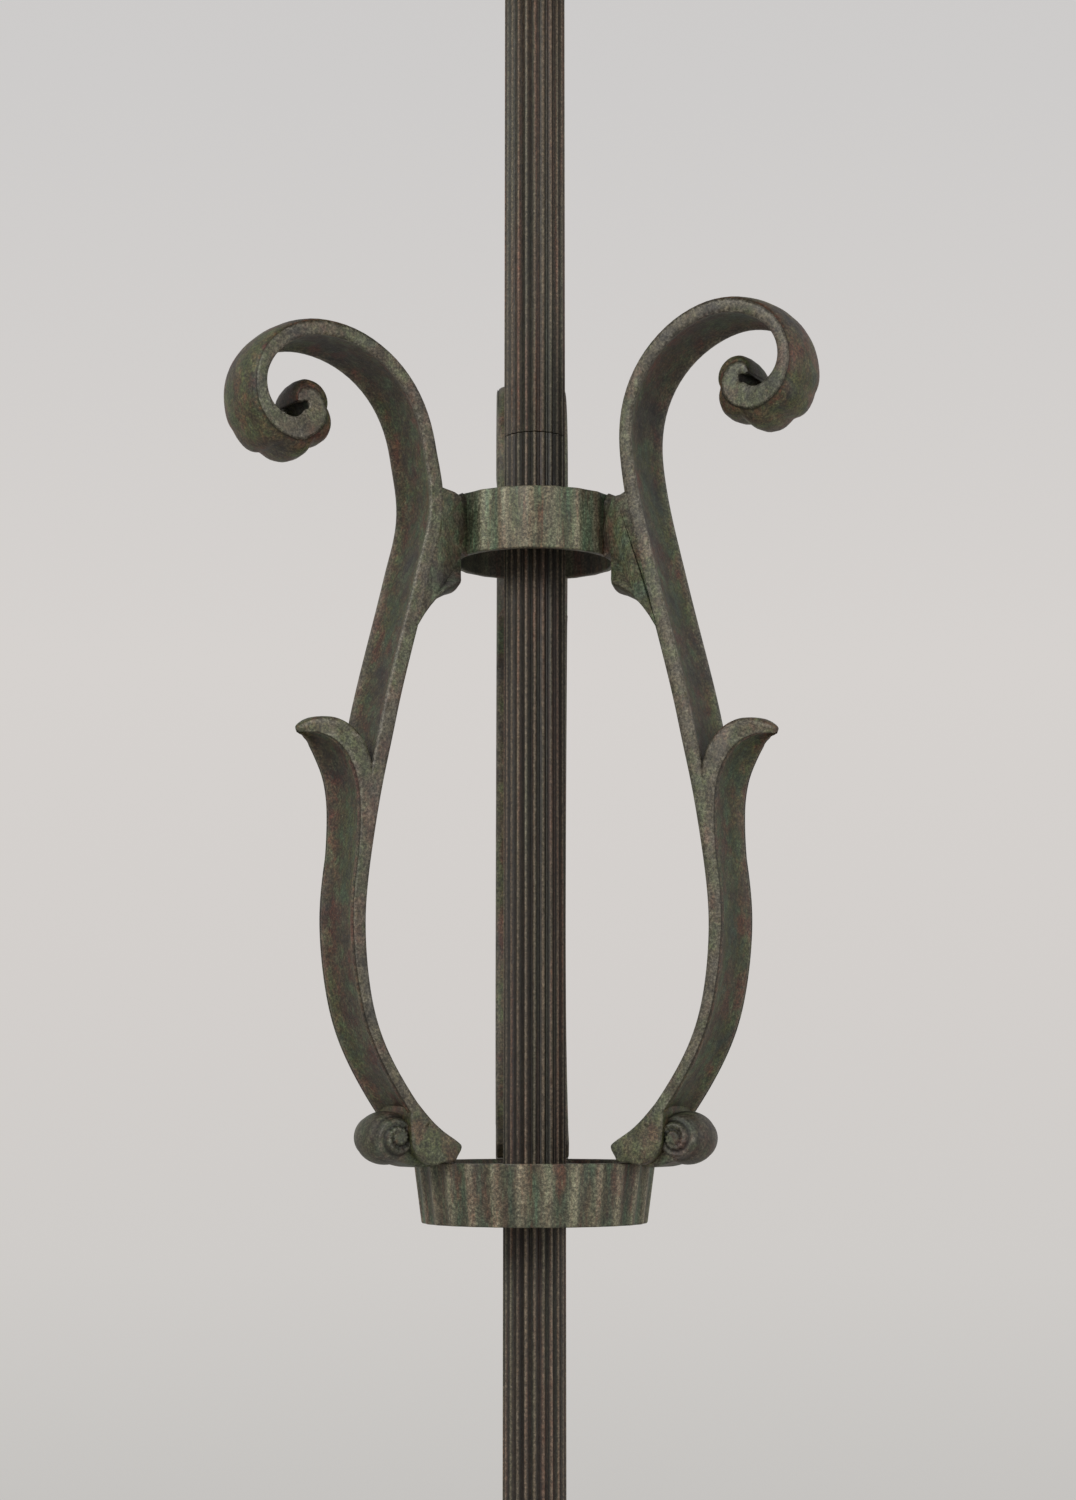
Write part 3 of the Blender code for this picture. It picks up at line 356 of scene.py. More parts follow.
def bend_scroll(x, z, bend, size):
    """Turns and scales a point above the neck."""
    neck_x, neck_z = UPPER_R + 21 * MM, UPPER_FOOT + 9 * MM
    share = min(max((z - (UPPER_FOOT - 8 * MM)) / (45 * MM), 0.0), 1.0)
    share = share * share * (3 - 2 * share)
    if x > neck_x + 8 * MM and z > UPPER_FOOT + 17 * MM:
        share = 1.0
    turn, scale = -bend * share, 1 + (size - 1) * share
    dx, dz = x - neck_x, z - neck_z
    bent_x = neck_x + scale * (dx * cos(turn) - dz * sin(turn))
    bent_z = neck_z + scale * (dx * sin(turn) + dz * cos(turn))
    return bent_x, bent_z


print("arms:", ", ".join(ARMS))


# %% [markdown]
# ## Lofting
# A loft joins a row of sections, each a closed ring of points, with quads. Blender has no loft tool, so a
# short function makes the faces. It also keeps numbers for each point, which become the attributes that the
# bronze reads: `hollow`, the worn rub with its painted highlight, the painted shade, and `rust`.

# %% A loft with attributes
ATTRIBUTES = ("hollow", "edge", "soot", "rust")


def mesh_from(name, points, faces, values, finish):
    """A mesh object from points, faces and a dict of per-point numbers."""
    mesh = bpy.data.meshes.new(name)
    mesh.from_pydata(points, [], faces)
    for key in ATTRIBUTES:
        layer = mesh.attributes.new(key, "FLOAT", "POINT")
        layer.data.foreach_set("value", values.get(key, [0.0] * len(points)))
    mesh.materials.append(finish)
    mesh.shade_smooth()
    made = bpy.data.objects.new(name, mesh)
    bpy.context.scene.collection.objects.link(made)
    return made


def loft(sections, caps=True):
    """Points and faces joining closed sections in turn."""
    count = len(sections[0])
    points = [p for section in sections for p in section]
    faces = []
    for row in range(len(sections) - 1):
        for i in range(count):
            j = (i + 1) % count
            a = row * count
            faces.append((a + i, a + j, a + count + j, a + count + i))
    if caps:
        faces.append(tuple(range(count))[::-1])
        last = (len(sections) - 1) * count
        faces.append(tuple(range(last, last + count)))
    return points, faces


def joined(name, pieces, finish):
    """Several (points, faces, values) shells as one object, with outward normals."""
    points, faces, values = [], [], {key: [] for key in ATTRIBUTES}
    for shell_points, shell_faces, shell_values in pieces:
        start = len(points)
        points += shell_points
        faces += [tuple(start + i for i in face) for face in shell_faces]
        for key in values:
            values[key] += shell_values.get(key, [0.0] * len(shell_points))
    made = mesh_from(name, points, faces, values, finish)
    solid = bmesh.new()
    solid.from_mesh(made.data)
    bmesh.ops.recalc_face_normals(solid, faces=solid.faces)
    solid.to_mesh(made.data)
    solid.free()
    return made


# %% [markdown]
# ## The band's section
# Cut across, the band is a shallow channel. Its outer face is a trough between two rounded lips, its sides
# are flat, and its inner face is slightly crowned with soft corners. Below the leaf a fine crease, darkened
# with painted shade, parts each lip from the side strip, as if a leaf were wrapped round the band. In the
# scroll another crease, rusty and darkened with painted shade, runs along each side of the crowned face.
# The middle of the trough also gets a little painted shade, and the flat sides and the lips get the grey
# rub, partly wear and partly painted highlight. The numbers run round the section: the place across from
# -1 to 1, then the place through the thickness from -1 (inner face) to 1 (outer face).

# %% Place the points of one section
def band_section(wrapped, furled):
    """(across, through, hollow, worn rub and painted highlight, painted shade, rust) round the section;
    wrapped and furled are from 0 to 1.
    """
    half = [
        (0.00, -1.00, 0.30, 0.00, 0.0, 0.2), (0.42, -1.00, 0.25, 0.00, 0.0, 0.25),
        (0.70, -0.97, 0.2, 0.05, 0.0, 0.35), (0.86, -0.90, 0.15, 0.15, 0.0, 0.3 + 0.5 * furled),
        (0.93, -0.80 + 0.04 * furled, 0.1, 0.5 - 0.5 * furled, 0.35 * furled, 0.2 + 0.8 * furled),
        (0.955, -0.72 + 0.10 * furled, 0.05, 0.6 - 0.5 * furled, 0.85 * furled, 0.1 + 0.6 * furled),
        (0.975, -0.60 - 0.14 * furled, 0.05, 0.80, 0.1 * furled, 0.0), (0.995, -0.42, 0.05, 0.70, 0.0, 0.0),
        (1.00, -0.15, 0.15, 0.45, 0.0, 0.0), (1.00, 0.20, 0.20, 0.40, 0.0, 0.0),
        (0.995, 0.55, 0.20, 0.50, 0.0, 0.0), (0.975, 0.84, 0.10, 0.80, 0.0, 0.0),
        (0.94 + 0.01 * wrapped, 0.98 - 0.06 * wrapped, 0.05, 0.95 - 0.3 * wrapped, 0.15 * wrapped, 0.0),
        (0.91, 0.99 - 0.40 * wrapped, 0.10, 0.90 - 0.9 * wrapped, 0.95 * wrapped, 0.2 * wrapped),
        (0.87, 0.95 - 0.02 * wrapped, 0.15, 0.60 - 0.3 * wrapped, 0.35 * wrapped, 0.8 * wrapped),
        (0.80, 0.78 + 0.20 * wrapped, 0.30, 0.25 + 0.1 * wrapped, 0.0, 0.25 + 0.6 * wrapped),
        (0.70, 0.58 + 0.18 * wrapped, 0.50, 0.05, 0.08, 0.45), (0.56, 0.43, 0.75, 0.0, 0.2, 0.5),
        (0.38, 0.33, 0.85, 0.0, 0.3, 0.4), (0.20, 0.28, 0.95, 0.0, 0.35, 0.2),
    ]
    middle = [(0.0, 0.27, 0.95, 0.0, 0.35, 0.1)]
    other = [(-row[0], *row[1:]) for row in half[:0:-1]]
    return half + middle + other


print("points round the band:", len(band_section(0, 0)))


# %% [markdown]
# ## Lumps at the end of the scroll
# Near its end the band's back breaks into a few fat lobes, like the furled tip of a fern. They swell the
# crowned face by up to three millimetres, in waves along the band that fade out towards its sides. The lips
# on the other face grow at the same time, so that the last turn closes up on itself. Both are worked out
# from the length that is left.

# %% Sweep the section along the band
def ease(value, low, high):
    """0 below low, 1 above high, smooth between."""
    t = min(max((value - low) / (high - low), 0.0), 1.0)
    return t * t * (3 - 2 * t)


def path_lengths(points):
    """Distance run along a path at each of its points."""
    lengths = [0.0]
    for (x0, z0, *_), (x1, z1, *_) in zip(points, points[1:]):
        lengths.append(lengths[-1] + hypot(x1 - x0, z1 - z0))
    return lengths


def spun(x, side, z, angle):
    """A point of an arm, from its own plane into place round the stem."""
    return x * cos(angle) - side * sin(angle), x * sin(angle) + side * cos(angle), z


def ribbon(stations, angle):
    """Lofts a section along stations.

    A station is (x, z, thickness, half width, wrapped, furled, crown, lobe, swell).
    """
    sections, values = [], {key: [] for key in ATTRIBUTES}
    for i, (x, z, thick, half, wrapped, furled, crown, lobe, swell) in enumerate(stations):
        x0, z0 = stations[max(i - 1, 0)][:2]
        x1, z1 = stations[min(i + 1, len(stations) - 1)][:2]
        run = hypot(x1 - x0, z1 - z0)
        out_x, out_z = (z1 - z0) / run, -(x1 - x0) / run
        section = []
        for across, through, *numbers in band_section(wrapped, furled):
            reach = through * (thick / 2 + (swell if through > 0 else 0.0))
            if through < -0.7:
                reach -= crown * (1 - across**2) + lobe * (1 - across**6)
            section.append(spun(x + out_x * reach, across * half, z + out_z * reach, angle))
            for key, number in zip(ATTRIBUTES, numbers):
                values[key].append(number)
        sections.append(section)
    return (*loft(sections), values)


LOBE_HEIGHT = 3.0 * MM
LOBE_SPACING = 10.5 * MM
LIP_SWELL = 4.5 * MM


def band_shell(angle, bend, size):
    """The whole band of one arm as (points, faces, values)."""
    bent = [(*bend_scroll(x, z, bend, size), t) for x, z, t in MIDDLE]
    lengths = path_lengths(bent)
    whole = lengths[-1]
    stations = []
    for (x, z, thick), length in zip(bent, lengths):
        left = whole - length
        wrapped = 1 - ease(z, RIM + 0.58 * RISE, RIM + 0.63 * RISE) if length < whole / 2 else 0.0
        furled = 1 - ease(left, 105 * MM, 135 * MM)
        half = BAND_WIDTH / 2 * (1 - 0.28 * ease(-left, -46 * MM, -4 * MM))
        fade = 1 - ease(-left, -6 * MM, 0.0)
        wave = abs(sin(pi * (left - 2 * MM) / LOBE_SPACING)) ** 0.8
        lobe = LOBE_HEIGHT * wave * fade * ease(-left, -56 * MM, -26 * MM)
        crown = (0.7 + 1.6 * furled) * fade * MM
        thick *= 1 - 0.5 * ease(-left, -3 * MM, 0.0)
        swell = LIP_SWELL * ease(left, 2 * MM, 20 * MM) * (1 - ease(left, 24 * MM, 62 * MM))
        stations.append((x, z, thick, half, wrapped, furled, crown, lobe, swell))
    return ribbon(stations, angle)


print("band length, mm:", round(path_lengths(MIDDLE)[-1] / MM))


# %% [markdown]
# ## The leaf
# Half way up, the wrapped face parts from the band, widens into a thick rim and curls outwards to a point.
# It takes the same section as the band, on a path that turns outwards while the section narrows to the tip.

# %% Loft the leaf
# Distance from the axis and height above the lower ring's foot, thickness, half width, all in millimetres
LEAF = [
    (81.8, 122, 5.8, 14.4), (80.3, 136, 5.8, 14.45), (79.5, 148, 6.4, 14.5), (79.6, 158, 7.2, 14.5),
    (81.0, 167, 8.6, 14.3), (84.6, 175.2, 9.8, 13.4), (89.8, 180.4, 9.0, 11.0), (95.6, 182.0, 6.2, 7.4),
    (99.6, 181.4, 3.6, 3.8), (101.8, 180.6, 1.6, 1.0),
]


def leaf_shell(angle):
    knots = [(x * MM, LOWER_FOOT + z * MM, t * MM, w * MM) for x, z, t, w in LEAF]
    stations = []
    for x, z, thick, half in smooth(knots, 7):
        stations.append((x, z, thick, half, 1.0, 0.0, 0.8 * MM, 0.0, 0.0))
    return ribbon(stations, angle)


print("leaf stations:", 7 * (len(LEAF) - 1) + 1)


# %% [markdown]
# ## Foot, web and spur
# The foot that stands on the lower ring and the web that holds the upper ring are flat castings with
# rounded edges. A rounded slab is the same outline repeated across the width, drawn in a little at both
# faces.

# %% Make rounded slabs
def inset(outline, distance):
    """A closed outline moved inwards by a small distance; the outline runs clockwise or anticlockwise."""
    area = sum(x0 * z1 - x1 * z0 for (x0, z0), (x1, z1) in zip(outline, outline[1:] + outline[:1]))
    side = 1 if area > 0 else -1
    moved = []
    for i, (x, z) in enumerate(outline):
        x0, z0 = outline[i - 1]
        x1, z1 = outline[(i + 1) % len(outline)]
        run = max(hypot(x1 - x0, z1 - z0), 1e-9)
        moved.append((x - side * distance * (z1 - z0) / run, z + side * distance * (x1 - x0) / run))
    return moved


def slab_shell(outline, half, rounding, angle, numbers, place=None):
    """A slab across the arm's width; place moves a point (x, side, z) before it is spun round."""
    sections, values = [], {key: [] for key in ATTRIBUTES}
    rims = []
    for turn in (0, 20, 45, 70, 90):
        a = radians(turn)
        rims.append((half - rounding * (1 - sin(a)), rounding * (1 - cos(a)), sin(2 * a)))
    inner = [(half - rounding) * (1 - 2 * k / 11) for k in range(1, 11)]
    steps = rims[::-1] + [(side, 0.0, 0.0) for side in inner]
    steps += [(-side, back, edge) for side, back, edge in rims]
    for side, back, edge in steps:
        ring = [(x, side, z) for x, z in inset(outline, back)]
        ring = [place(*point) if place else point for point in ring]
        sections.append([spun(x, across, z, angle) for x, across, z in ring])
        hollow, soot, rust = numbers
        face = min(back / rounding, 1.0)
        # The side faces get a lighter rub as a painted highlight, and the faces round the outline, undersides
        # among them, are darkened with painted shade
        stored = (hollow, 0.05 + 0.2 * face + 0.5 * edge, soot * (1 - face), rust)
        for key, number in zip(ATTRIBUTES, stored):
            values[key] += [number] * len(ring)
    return (*loft(sections), values)


def foot_shell(angle):
    """The block from the band's end to the toe and heel on the ring's rim."""
    shape = [(12.8, 22.6), (6.8, 16.2), (1.6, 11.8), (-5.0, 7.6), (-6.3, 5.6), (-4.6, 2.4), (-3.2, 0.4),
             (0.8, 0.3), (5.2, -0.7), (9.9, 1.0), (13.9, 5.4), (14.8, 11.0), (15.2, 17.0), (14.6, 21.2)]
    outline = smooth([(LOWER_R + x * MM, RIM + z * MM) for x, z in shape], 3)
    return slab_shell(outline, BAND_WIDTH / 2 - 0.1 * MM, 1.0 * MM, angle, (0.1, 0.2, 0.2))


def tongue_shell(angle):
    """The narrower tongue that carries the roll, under and behind the foot."""
    shape = [(1.0, 0.4), (3.6, -1.0), (7.0, -1.6), (11.0, -1.0), (15.0, 0.2), (18.0, 1.4), (20.0, 6.0),
             (16.0, 10.0), (8.0, 9.0), (2.0, 6.0)]
    outline = smooth([(LOWER_R + x * MM, RIM + z * MM) for x, z in shape], 3)
    return slab_shell(outline, 9.5 * MM, 1.5 * MM, angle, (0.9, 0.3, 0.1))


def web_shell(angle, bend, size):
    """The web from the band to the upper ring, with the hooked spur under it. It flares from ring to band."""
    low = [(30.2, -42.0), (23.0, -29.6), (15.6, -21.0), (8.5, -16.7), (4.6, -15.2), (2.9, -13.4),
           (3.0, -11.0), (4.0, -7.2), (3.4, -3.2), (1.6, 0.4), (-1.6, 0.8)]
    high = [(-1.6, -1.0), (4.0, -1.3)]
    band = [(10.0, -1.2), (14.0, 0.0), (16.6, -5.0), (19.0, -16.0), (21.5, -25.0), (25.5, -42.0)]
    outline = [(UPPER_R + x * MM, UPPER_FOOT + z * MM) for x, z in low]
    outline += [(UPPER_R + x * MM, UPPER_TOP + z * MM) for x, z in high]
    outline += [bend_scroll(UPPER_R + x * MM, UPPER_TOP + z * MM, bend, size) for x, z in band]
    outline = smooth(outline, 3)
    wall = UPPER_R - 1.6 * MM
    half = BAND_WIDTH / 2 - 0.3 * MM

    def flared(x, side, z):
        narrow = 0.25 + 0.75 * ease(x, UPPER_R + 1 * MM, UPPER_R + 9 * MM)
        droop = 3.4 * ease(z, UPPER_FOOT + 12 * MM, UPPER_TOP - 1 * MM)
        lift = 3.0 * (1 - ease(z, UPPER_FOOT - 14 * MM, UPPER_FOOT - 4 * MM))
        z += (lift - droop) * MM * (side / half) ** 2
        side *= narrow
        if x < UPPER_R - 1.0 * MM:
            x = (wall**2 - side**2) ** 0.5
        return x, side, z

    return slab_shell(outline, half, 1.0 * MM, angle, (1.0, 0.15, 0.1), flared)


print("points of a foot:", len(foot_shell(0.0)[0]), "and of a web:", len(web_shell(0.0, 0.0, 1.0)[0]))


# %% [markdown]
# ## The roll at the foot
# Under the band a barrel-shaped roll rests on the rim of the ring. Its ends are domed and carved with a
# spiral, and round the small bead at the middle of each end run short ribs. It is a turned shape with the
# spiral added as a small rise and fall of the surface.

# %% Shape the roll
ROLL_R = 9.8 * MM
ROLL_HALF = 12.3 * MM
SPIRAL_PITCH = 3.2 * MM


def roll_shell(angle):
    """The roll across the arm's width, as a grid of rings from one end to the other."""
    centre_x, centre_z = LOWER_R + 18.6 * MM, RIM + 9.2 * MM
    around, rows = 72, 96
    sections, values = [], {key: [] for key in ATTRIBUTES}
    for step in range(1, rows):
        t = pi * step / rows
        side = -ROLL_HALF * cos(t) * (1 - 0.12 * sin(t) ** 2)
        base = ROLL_R * sin(t) ** 0.58
        end = 1 - ease(base, 7.8 * MM, 9.2 * MM)
        bead = 1 - ease(base, 2.0 * MM, 2.8 * MM)
        ring = []
        for k in range(around):
            a = 2 * pi * k / around
            twist = a if side < 0 else -a
            spiral = sin(2 * pi * base / SPIRAL_PITCH - twist) * end * (1 - bead)
            ribs = sin(13 * a) * ease(base, 2.2 * MM, 3.0 * MM) * (1 - ease(base, 4.4 * MM, 5.6 * MM))
            lift = 0.55 * MM * spiral + 0.25 * MM * ribs + 0.7 * MM * bead
            r = base + 0.3 * lift
            x, z = centre_x + r * cos(a), centre_z + r * sin(a)
            ring.append(spun(x, side + lift * (1 if side > 0 else -1), z, angle))
            # The roll, under the band, is darkened all over and deeper in the spiral's grooves with painted
            # shade; the spiral's ridges get the grey rub with a painted highlight
            values["hollow"].append(0.35 + 0.4 * end)
            values["edge"].append(0.45 + 0.4 * end * max(spiral, 0.0))
            values["soot"].append(0.42 + 0.5 * end * max(-spiral, 0.0))
            values["rust"].append(0.2 + 0.8 * ease(cos(a + 0.7), 0.75, 1.0) * end)
        sections.append(ring)
    return (*loft(sections), values)


print("points of a roll:", len(roll_shell(0.0)[0]))


# %% Put the three arms together
for side, (direction, bend, size) in ARMS.items():
    angle = direction + LYRE_TURN
    shells = [band_shell(angle, bend, size), leaf_shell(angle), foot_shell(angle), tongue_shell(angle),
              web_shell(angle, bend, size), roll_shell(angle)]
    arm = joined(f"arm_{side}", shells, ARM_BRONZE)
    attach(arm, BODY)
    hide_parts(f"lyre_arm_{side}")
    print("arm", side, "faces:", len(arm.data.polygons))


# %% [markdown]
# ## Fluted bands with Geometry Nodes
# The stem, both rings of the lyre, the base and the band under the bowl are all one idea: a ring of wall
# with concave flutes cut round it. One node tree makes them all. It sweeps a rounded rectangle round a
# circle, then moves the outer points inwards where a flute is, and tapers the whole towards the foot. The
# sizes are the tree's inputs, so a stem and a base ring differ only in numbers.

# %% Build the fluted band's node tree
def node_input(tree, name, kind, value=None):
    socket = tree.interface.new_socket(name, in_out="INPUT", socket_type=kind)
    if value is not None:
        socket.default_value = value
    return socket


def fluted_tree():
    tree = bpy.data.node_groups.new("fluted band", "GeometryNodeTree")
    for name, value in (
            ("Radius", 0.03), ("Foot Radius", 0.03), ("Bore", 0.02), ("Foot", 0.0), ("Height", 0.02),
            ("Depth", 0.001), ("Land", 0.15), ("Rounding", 0.0005), ("Ridge", 0.0), ("Wax", 0.1),
            ("Rust", 0.3)):
        node_input(tree, name, "NodeSocketFloat", value)
    node_input(tree, "Flutes", "NodeSocketInt", 20)
    node_input(tree, "Steps", "NodeSocketInt", 12)
    node_input(tree, "Material", "NodeSocketMaterial")
    tree.interface.new_socket("Geometry", in_out="OUTPUT", socket_type="NodeSocketGeometry")
    size = add(tree, "NodeGroupInput").outputs
    wall = math(tree, "SUBTRACT", size["Radius"], size["Bore"])
    middle = math(tree, "MULTIPLY", math(tree, "ADD", size["Radius"], size["Bore"]), 0.5)
    around = math(tree, "MULTIPLY", size["Flutes"], size["Steps"])
    path = add(tree, "GeometryNodeCurvePrimitiveCircle", links={"Resolution": around, "Radius": middle})
    section = add(tree, "GeometryNodeCurvePrimitiveQuadrilateral",
                  links={"Width": wall, "Height": size["Height"]})
    soft = add(tree, "GeometryNodeFilletCurve", {"Count": 4},
               {"Curve": section.outputs["Curve"], "Radius": size["Rounding"]}, mode="POLY")
    swept = add(tree, "GeometryNodeCurveToMesh",
                links={"Curve": path.outputs["Curve"], "Profile Curve": soft.outputs["Curve"]})
    position = add(tree, "GeometryNodeInputPosition").outputs["Position"]
    x, y, z = add(tree, "ShaderNodeSeparateXYZ", links={"Vector": position}).outputs
    reach = math(tree, "SQRT", math(tree, "ADD", math(tree, "MULTIPLY", x, x), math(tree, "MULTIPLY", y, y)))
    turn = math(tree, "DIVIDE", math(tree, "ARCTAN2", y, x), 2 * pi)
    phase = math(tree, "FRACT", math(tree, "ADD", math(tree, "MULTIPLY", turn, size["Flutes"]), 0.5))
    from_land = math(tree, "SUBTRACT", phase, math(tree, "MULTIPLY", size["Land"], 0.5))
    share = math(tree, "DIVIDE", from_land, math(tree, "SUBTRACT", 1.0, size["Land"]), clamp=True)
    scoop = math(tree, "SINE", math(tree, "MULTIPLY", share, pi))
    off_middle = math(tree, "ABSOLUTE", math(tree, "SUBTRACT", share, 0.5))
    bead = math(tree, "SUBTRACT", 1.0, math(tree, "MULTIPLY", off_middle, 8.0), True)
    scoop = math(tree, "SUBTRACT", scoop, math(tree, "MULTIPLY", bead, size["Ridge"]))
    half_wall = math(tree, "MULTIPLY", wall, 0.5)
    outer = math(tree, "DIVIDE", math(tree, "SUBTRACT", reach, middle), half_wall, True)
    scoop = math(tree, "MULTIPLY", scoop, outer)
    cut = math(tree, "SUBTRACT", reach, math(tree, "MULTIPLY", scoop, size["Depth"]))
    up = math(tree, "ADD", math(tree, "DIVIDE", z, size["Height"]), 0.5)
    foot_share = math(tree, "DIVIDE", size["Foot Radius"], size["Radius"])
    widening = math(tree, "MULTIPLY", up, math(tree, "SUBTRACT", 1.0, foot_share))
    taper = math(tree, "ADD", foot_share, widening)
    scale = math(tree, "DIVIDE", math(tree, "MULTIPLY", cut, taper), reach)
    high = math(tree, "ADD", math(tree, "ADD", z, size["Foot"]), math(tree, "MULTIPLY", size["Height"], 0.5))
    moved = add(tree, "ShaderNodeCombineXYZ", links={
        "X": math(tree, "MULTIPLY", x, scale), "Y": math(tree, "MULTIPLY", y, scale), "Z": high})
    kept = swept.outputs["Mesh"]
    # Painted shade: the flute bottoms are darkened by one input of the tree and the inner half of the wall by
    # a fixed amount; the arrises get the worn rub
    ridge = math(tree, "MULTIPLY", math(tree, "SUBTRACT", outer, scoop), outer)
    painted_shade_share = math(tree, "MULTIPLY", math(tree, "MULTIPLY", scoop, 1.6, True), size["Wax"])
    painted_shade_share = math(tree, "ADD", painted_shade_share, math(tree, "MULTIPLY", math(tree, "SUBTRACT", 1.0, outer), 0.55), True)
    edge = math(tree, "MULTIPLY", ridge, 0.8)
    for name, value in (("hollow", scoop), ("edge", edge), ("soot", painted_shade_share), ("rust", size["Rust"])):
        store = add(tree, "GeometryNodeStoreNamedAttribute", {"Name": name}, {"Geometry": kept},
                    data_type="FLOAT", domain="POINT")
        tree.links.new(value, store.inputs["Value"])
        kept = store.outputs["Geometry"]
    shaped = add(tree, "GeometryNodeSetPosition",
                 links={"Geometry": kept, "Position": moved.outputs["Vector"]})
    real = add(tree, "GeometryNodeRealizeInstances", links={"Geometry": shaped.outputs["Geometry"]})
    coated = add(tree, "GeometryNodeSetMaterial",
                 links={"Geometry": real.outputs["Geometry"], "Material": size["Material"]})
    add(tree, "NodeGroupOutput", links={"Geometry": coated.outputs["Geometry"]})
    return tree


FLUTED = fluted_tree()
print("inputs:", [item.name for item in FLUTED.interface.items_tree if item.in_out == "INPUT"])


# %% [markdown]
# ## From node tree to mesh
# The tree runs as a modifier on an empty mesh. Each input is set by its socket's identifier. The result is
# then kept as a plain mesh, so that what rides on the lamp is final, and arrises sharper than 30 degrees
# are shaded sharp.

# %% Make meshes from the tree
def grown(name, tree, finish, sharp=30, **sizes):
    """A mesh object from a node tree's result."""
    seed = bpy.data.objects.new(name, bpy.data.meshes.new(name))
    bpy.context.scene.collection.objects.link(seed)
    modifier = seed.modifiers.new("grow", "NODES")
    modifier.node_group = tree
    values = {key.replace("_", " "): value for key, value in sizes.items()} | {"Material": finish}
    for item in tree.interface.items_tree:
        if item.in_out == "INPUT" and item.name in values:
            modifier[item.identifier] = values[item.name]
    shape = seed.evaluated_get(bpy.context.evaluated_depsgraph_get())
    mesh = bpy.data.meshes.new_from_object(shape)
    bpy.data.objects.remove(seed)
    mesh.name = name
    solid = bmesh.new()
    solid.from_mesh(mesh)
    bmesh.ops.remove_doubles(solid, verts=solid.verts, dist=1e-6)
    bmesh.ops.recalc_face_normals(solid, faces=solid.faces)
    solid.to_mesh(mesh)
    solid.free()
    mesh.shade_smooth()
    mesh.set_sharp_from_angle(angle=radians(sharp))
    made = bpy.data.objects.new(name, mesh)
    bpy.context.scene.collection.objects.link(made)
    return made


def stands_for(made, node, body=BODY):
    """Hooks a finished piece to its body and lets it stand for its node."""
    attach(made, body)
    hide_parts(node)
    print(made.name, "faces:", len(made.data.polygons))


# For the stems the first number darkens the flute bottoms with painted shade and the second is their rust;
# the rings below get the same painted shade by the same input
for node, painted_shade_share, rust in (("lower_stem", 0.92, 0.2), ("upper_stem", 0.78, 0.7)):
    foot, top, radius = extent(node)
    tube = grown(f"fluted_{node}", FLUTED, STEM_BRONZE, Radius=radius, Foot_Radius=radius, Bore=9 * MM,
                 Foot=foot, Height=top - foot, Depth=0.8 * MM, Land=0.16, Rounding=0.15 * MM, Flutes=22,
                 Steps=24, Ridge=0.6, Wax=painted_shade_share, Rust=rust)
    stands_for(tube, node)
lower_ring = grown("fluted_lower_ring", FLUTED, RING_BRONZE, Radius=LOWER_R, Foot_Radius=42.7 * MM,
                   Bore=LOWER_R - 3.3 * MM, Foot=LOWER_FOOT, Height=RIM - LOWER_FOOT, Depth=1.1 * MM,
                   Land=0.16, Rounding=0.7 * MM, Flutes=28, Wax=0.45, Rust=0.6)
stands_for(lower_ring, "lyre_lower_ring")
upper_ring = grown("fluted_upper_ring", FLUTED, RING_BRONZE, Radius=UPPER_R, Foot_Radius=UPPER_R,
                   Bore=UPPER_R - 3.3 * MM, Foot=UPPER_FOOT, Height=UPPER_TOP - UPPER_FOOT, Depth=0.7 * MM,
                   Land=0.10, Rounding=0.6 * MM, Flutes=21, Wax=0.04)
stands_for(upper_ring, "lyre_upper_ring")
foot, top, radius = extent("base_ring")
base_ring = grown("fluted_base_ring", FLUTED, RING_BRONZE, Radius=radius, Foot_Radius=radius,
                  Bore=radius - 7 * MM, Foot=foot, Height=top - foot, Depth=1.0 * MM, Land=0.16,
                  Rounding=1.0 * MM, Flutes=56)
stands_for(base_ring, "base_ring")
foot, top, radius = extent("crown_ring")
crown_ring = grown("fluted_crown_ring", FLUTED, RING_BRONZE, Radius=radius, Foot_Radius=radius, Bore=24 * MM,
                   Foot=foot, Height=top - foot, Depth=1.0 * MM, Land=0.10, Rounding=0.6 * MM, Flutes=21)
stands_for(crown_ring, "crown_ring")


# %% [markdown]
# ## Turned pieces
# The dome, collar, crown, bowl and lampholder are turned. A profile of a few knots is smoothed and spun
# round the axis with enough steps to look round. Each profile runs clockwise, from the top down the outer
# side and back up the inner side. A right turn is then an outer corner, which wears bright, and a left turn
# is an inner corner, which gathers green and is darkened a little with painted shade.

# %% Spin profiles
def round_profile(profile, radius, steps=4):
    """Rounds the corners of a closed profile with a small radius."""
    rounded = []
    for i, (x, z) in enumerate(profile):
        before, after = Vector(profile[i - 1]), Vector(profile[(i + 1) % len(profile)])
        corner = Vector((x, z))
        into, out = corner - before, after - corner
        reach = min(radius, into.length * 0.45, out.length * 0.45)
        if into.angle(out, 0.0) < radians(12) or x < 1e-6:
            rounded.append(((x, z), 0.0))
            continue
        start, end = corner - into.normalized() * reach, corner + out.normalized() * reach
        outward = into.x * out.y - into.y * out.x < 0
        for k in range(steps + 1):
            t = k / steps
            point = start * (1 - t) ** 2 + corner * 2 * t * (1 - t) + end * t**2
            rounded.append((tuple(point), 1.0 if outward else -1.0))
    return rounded


TURNED_RUST = 0.3


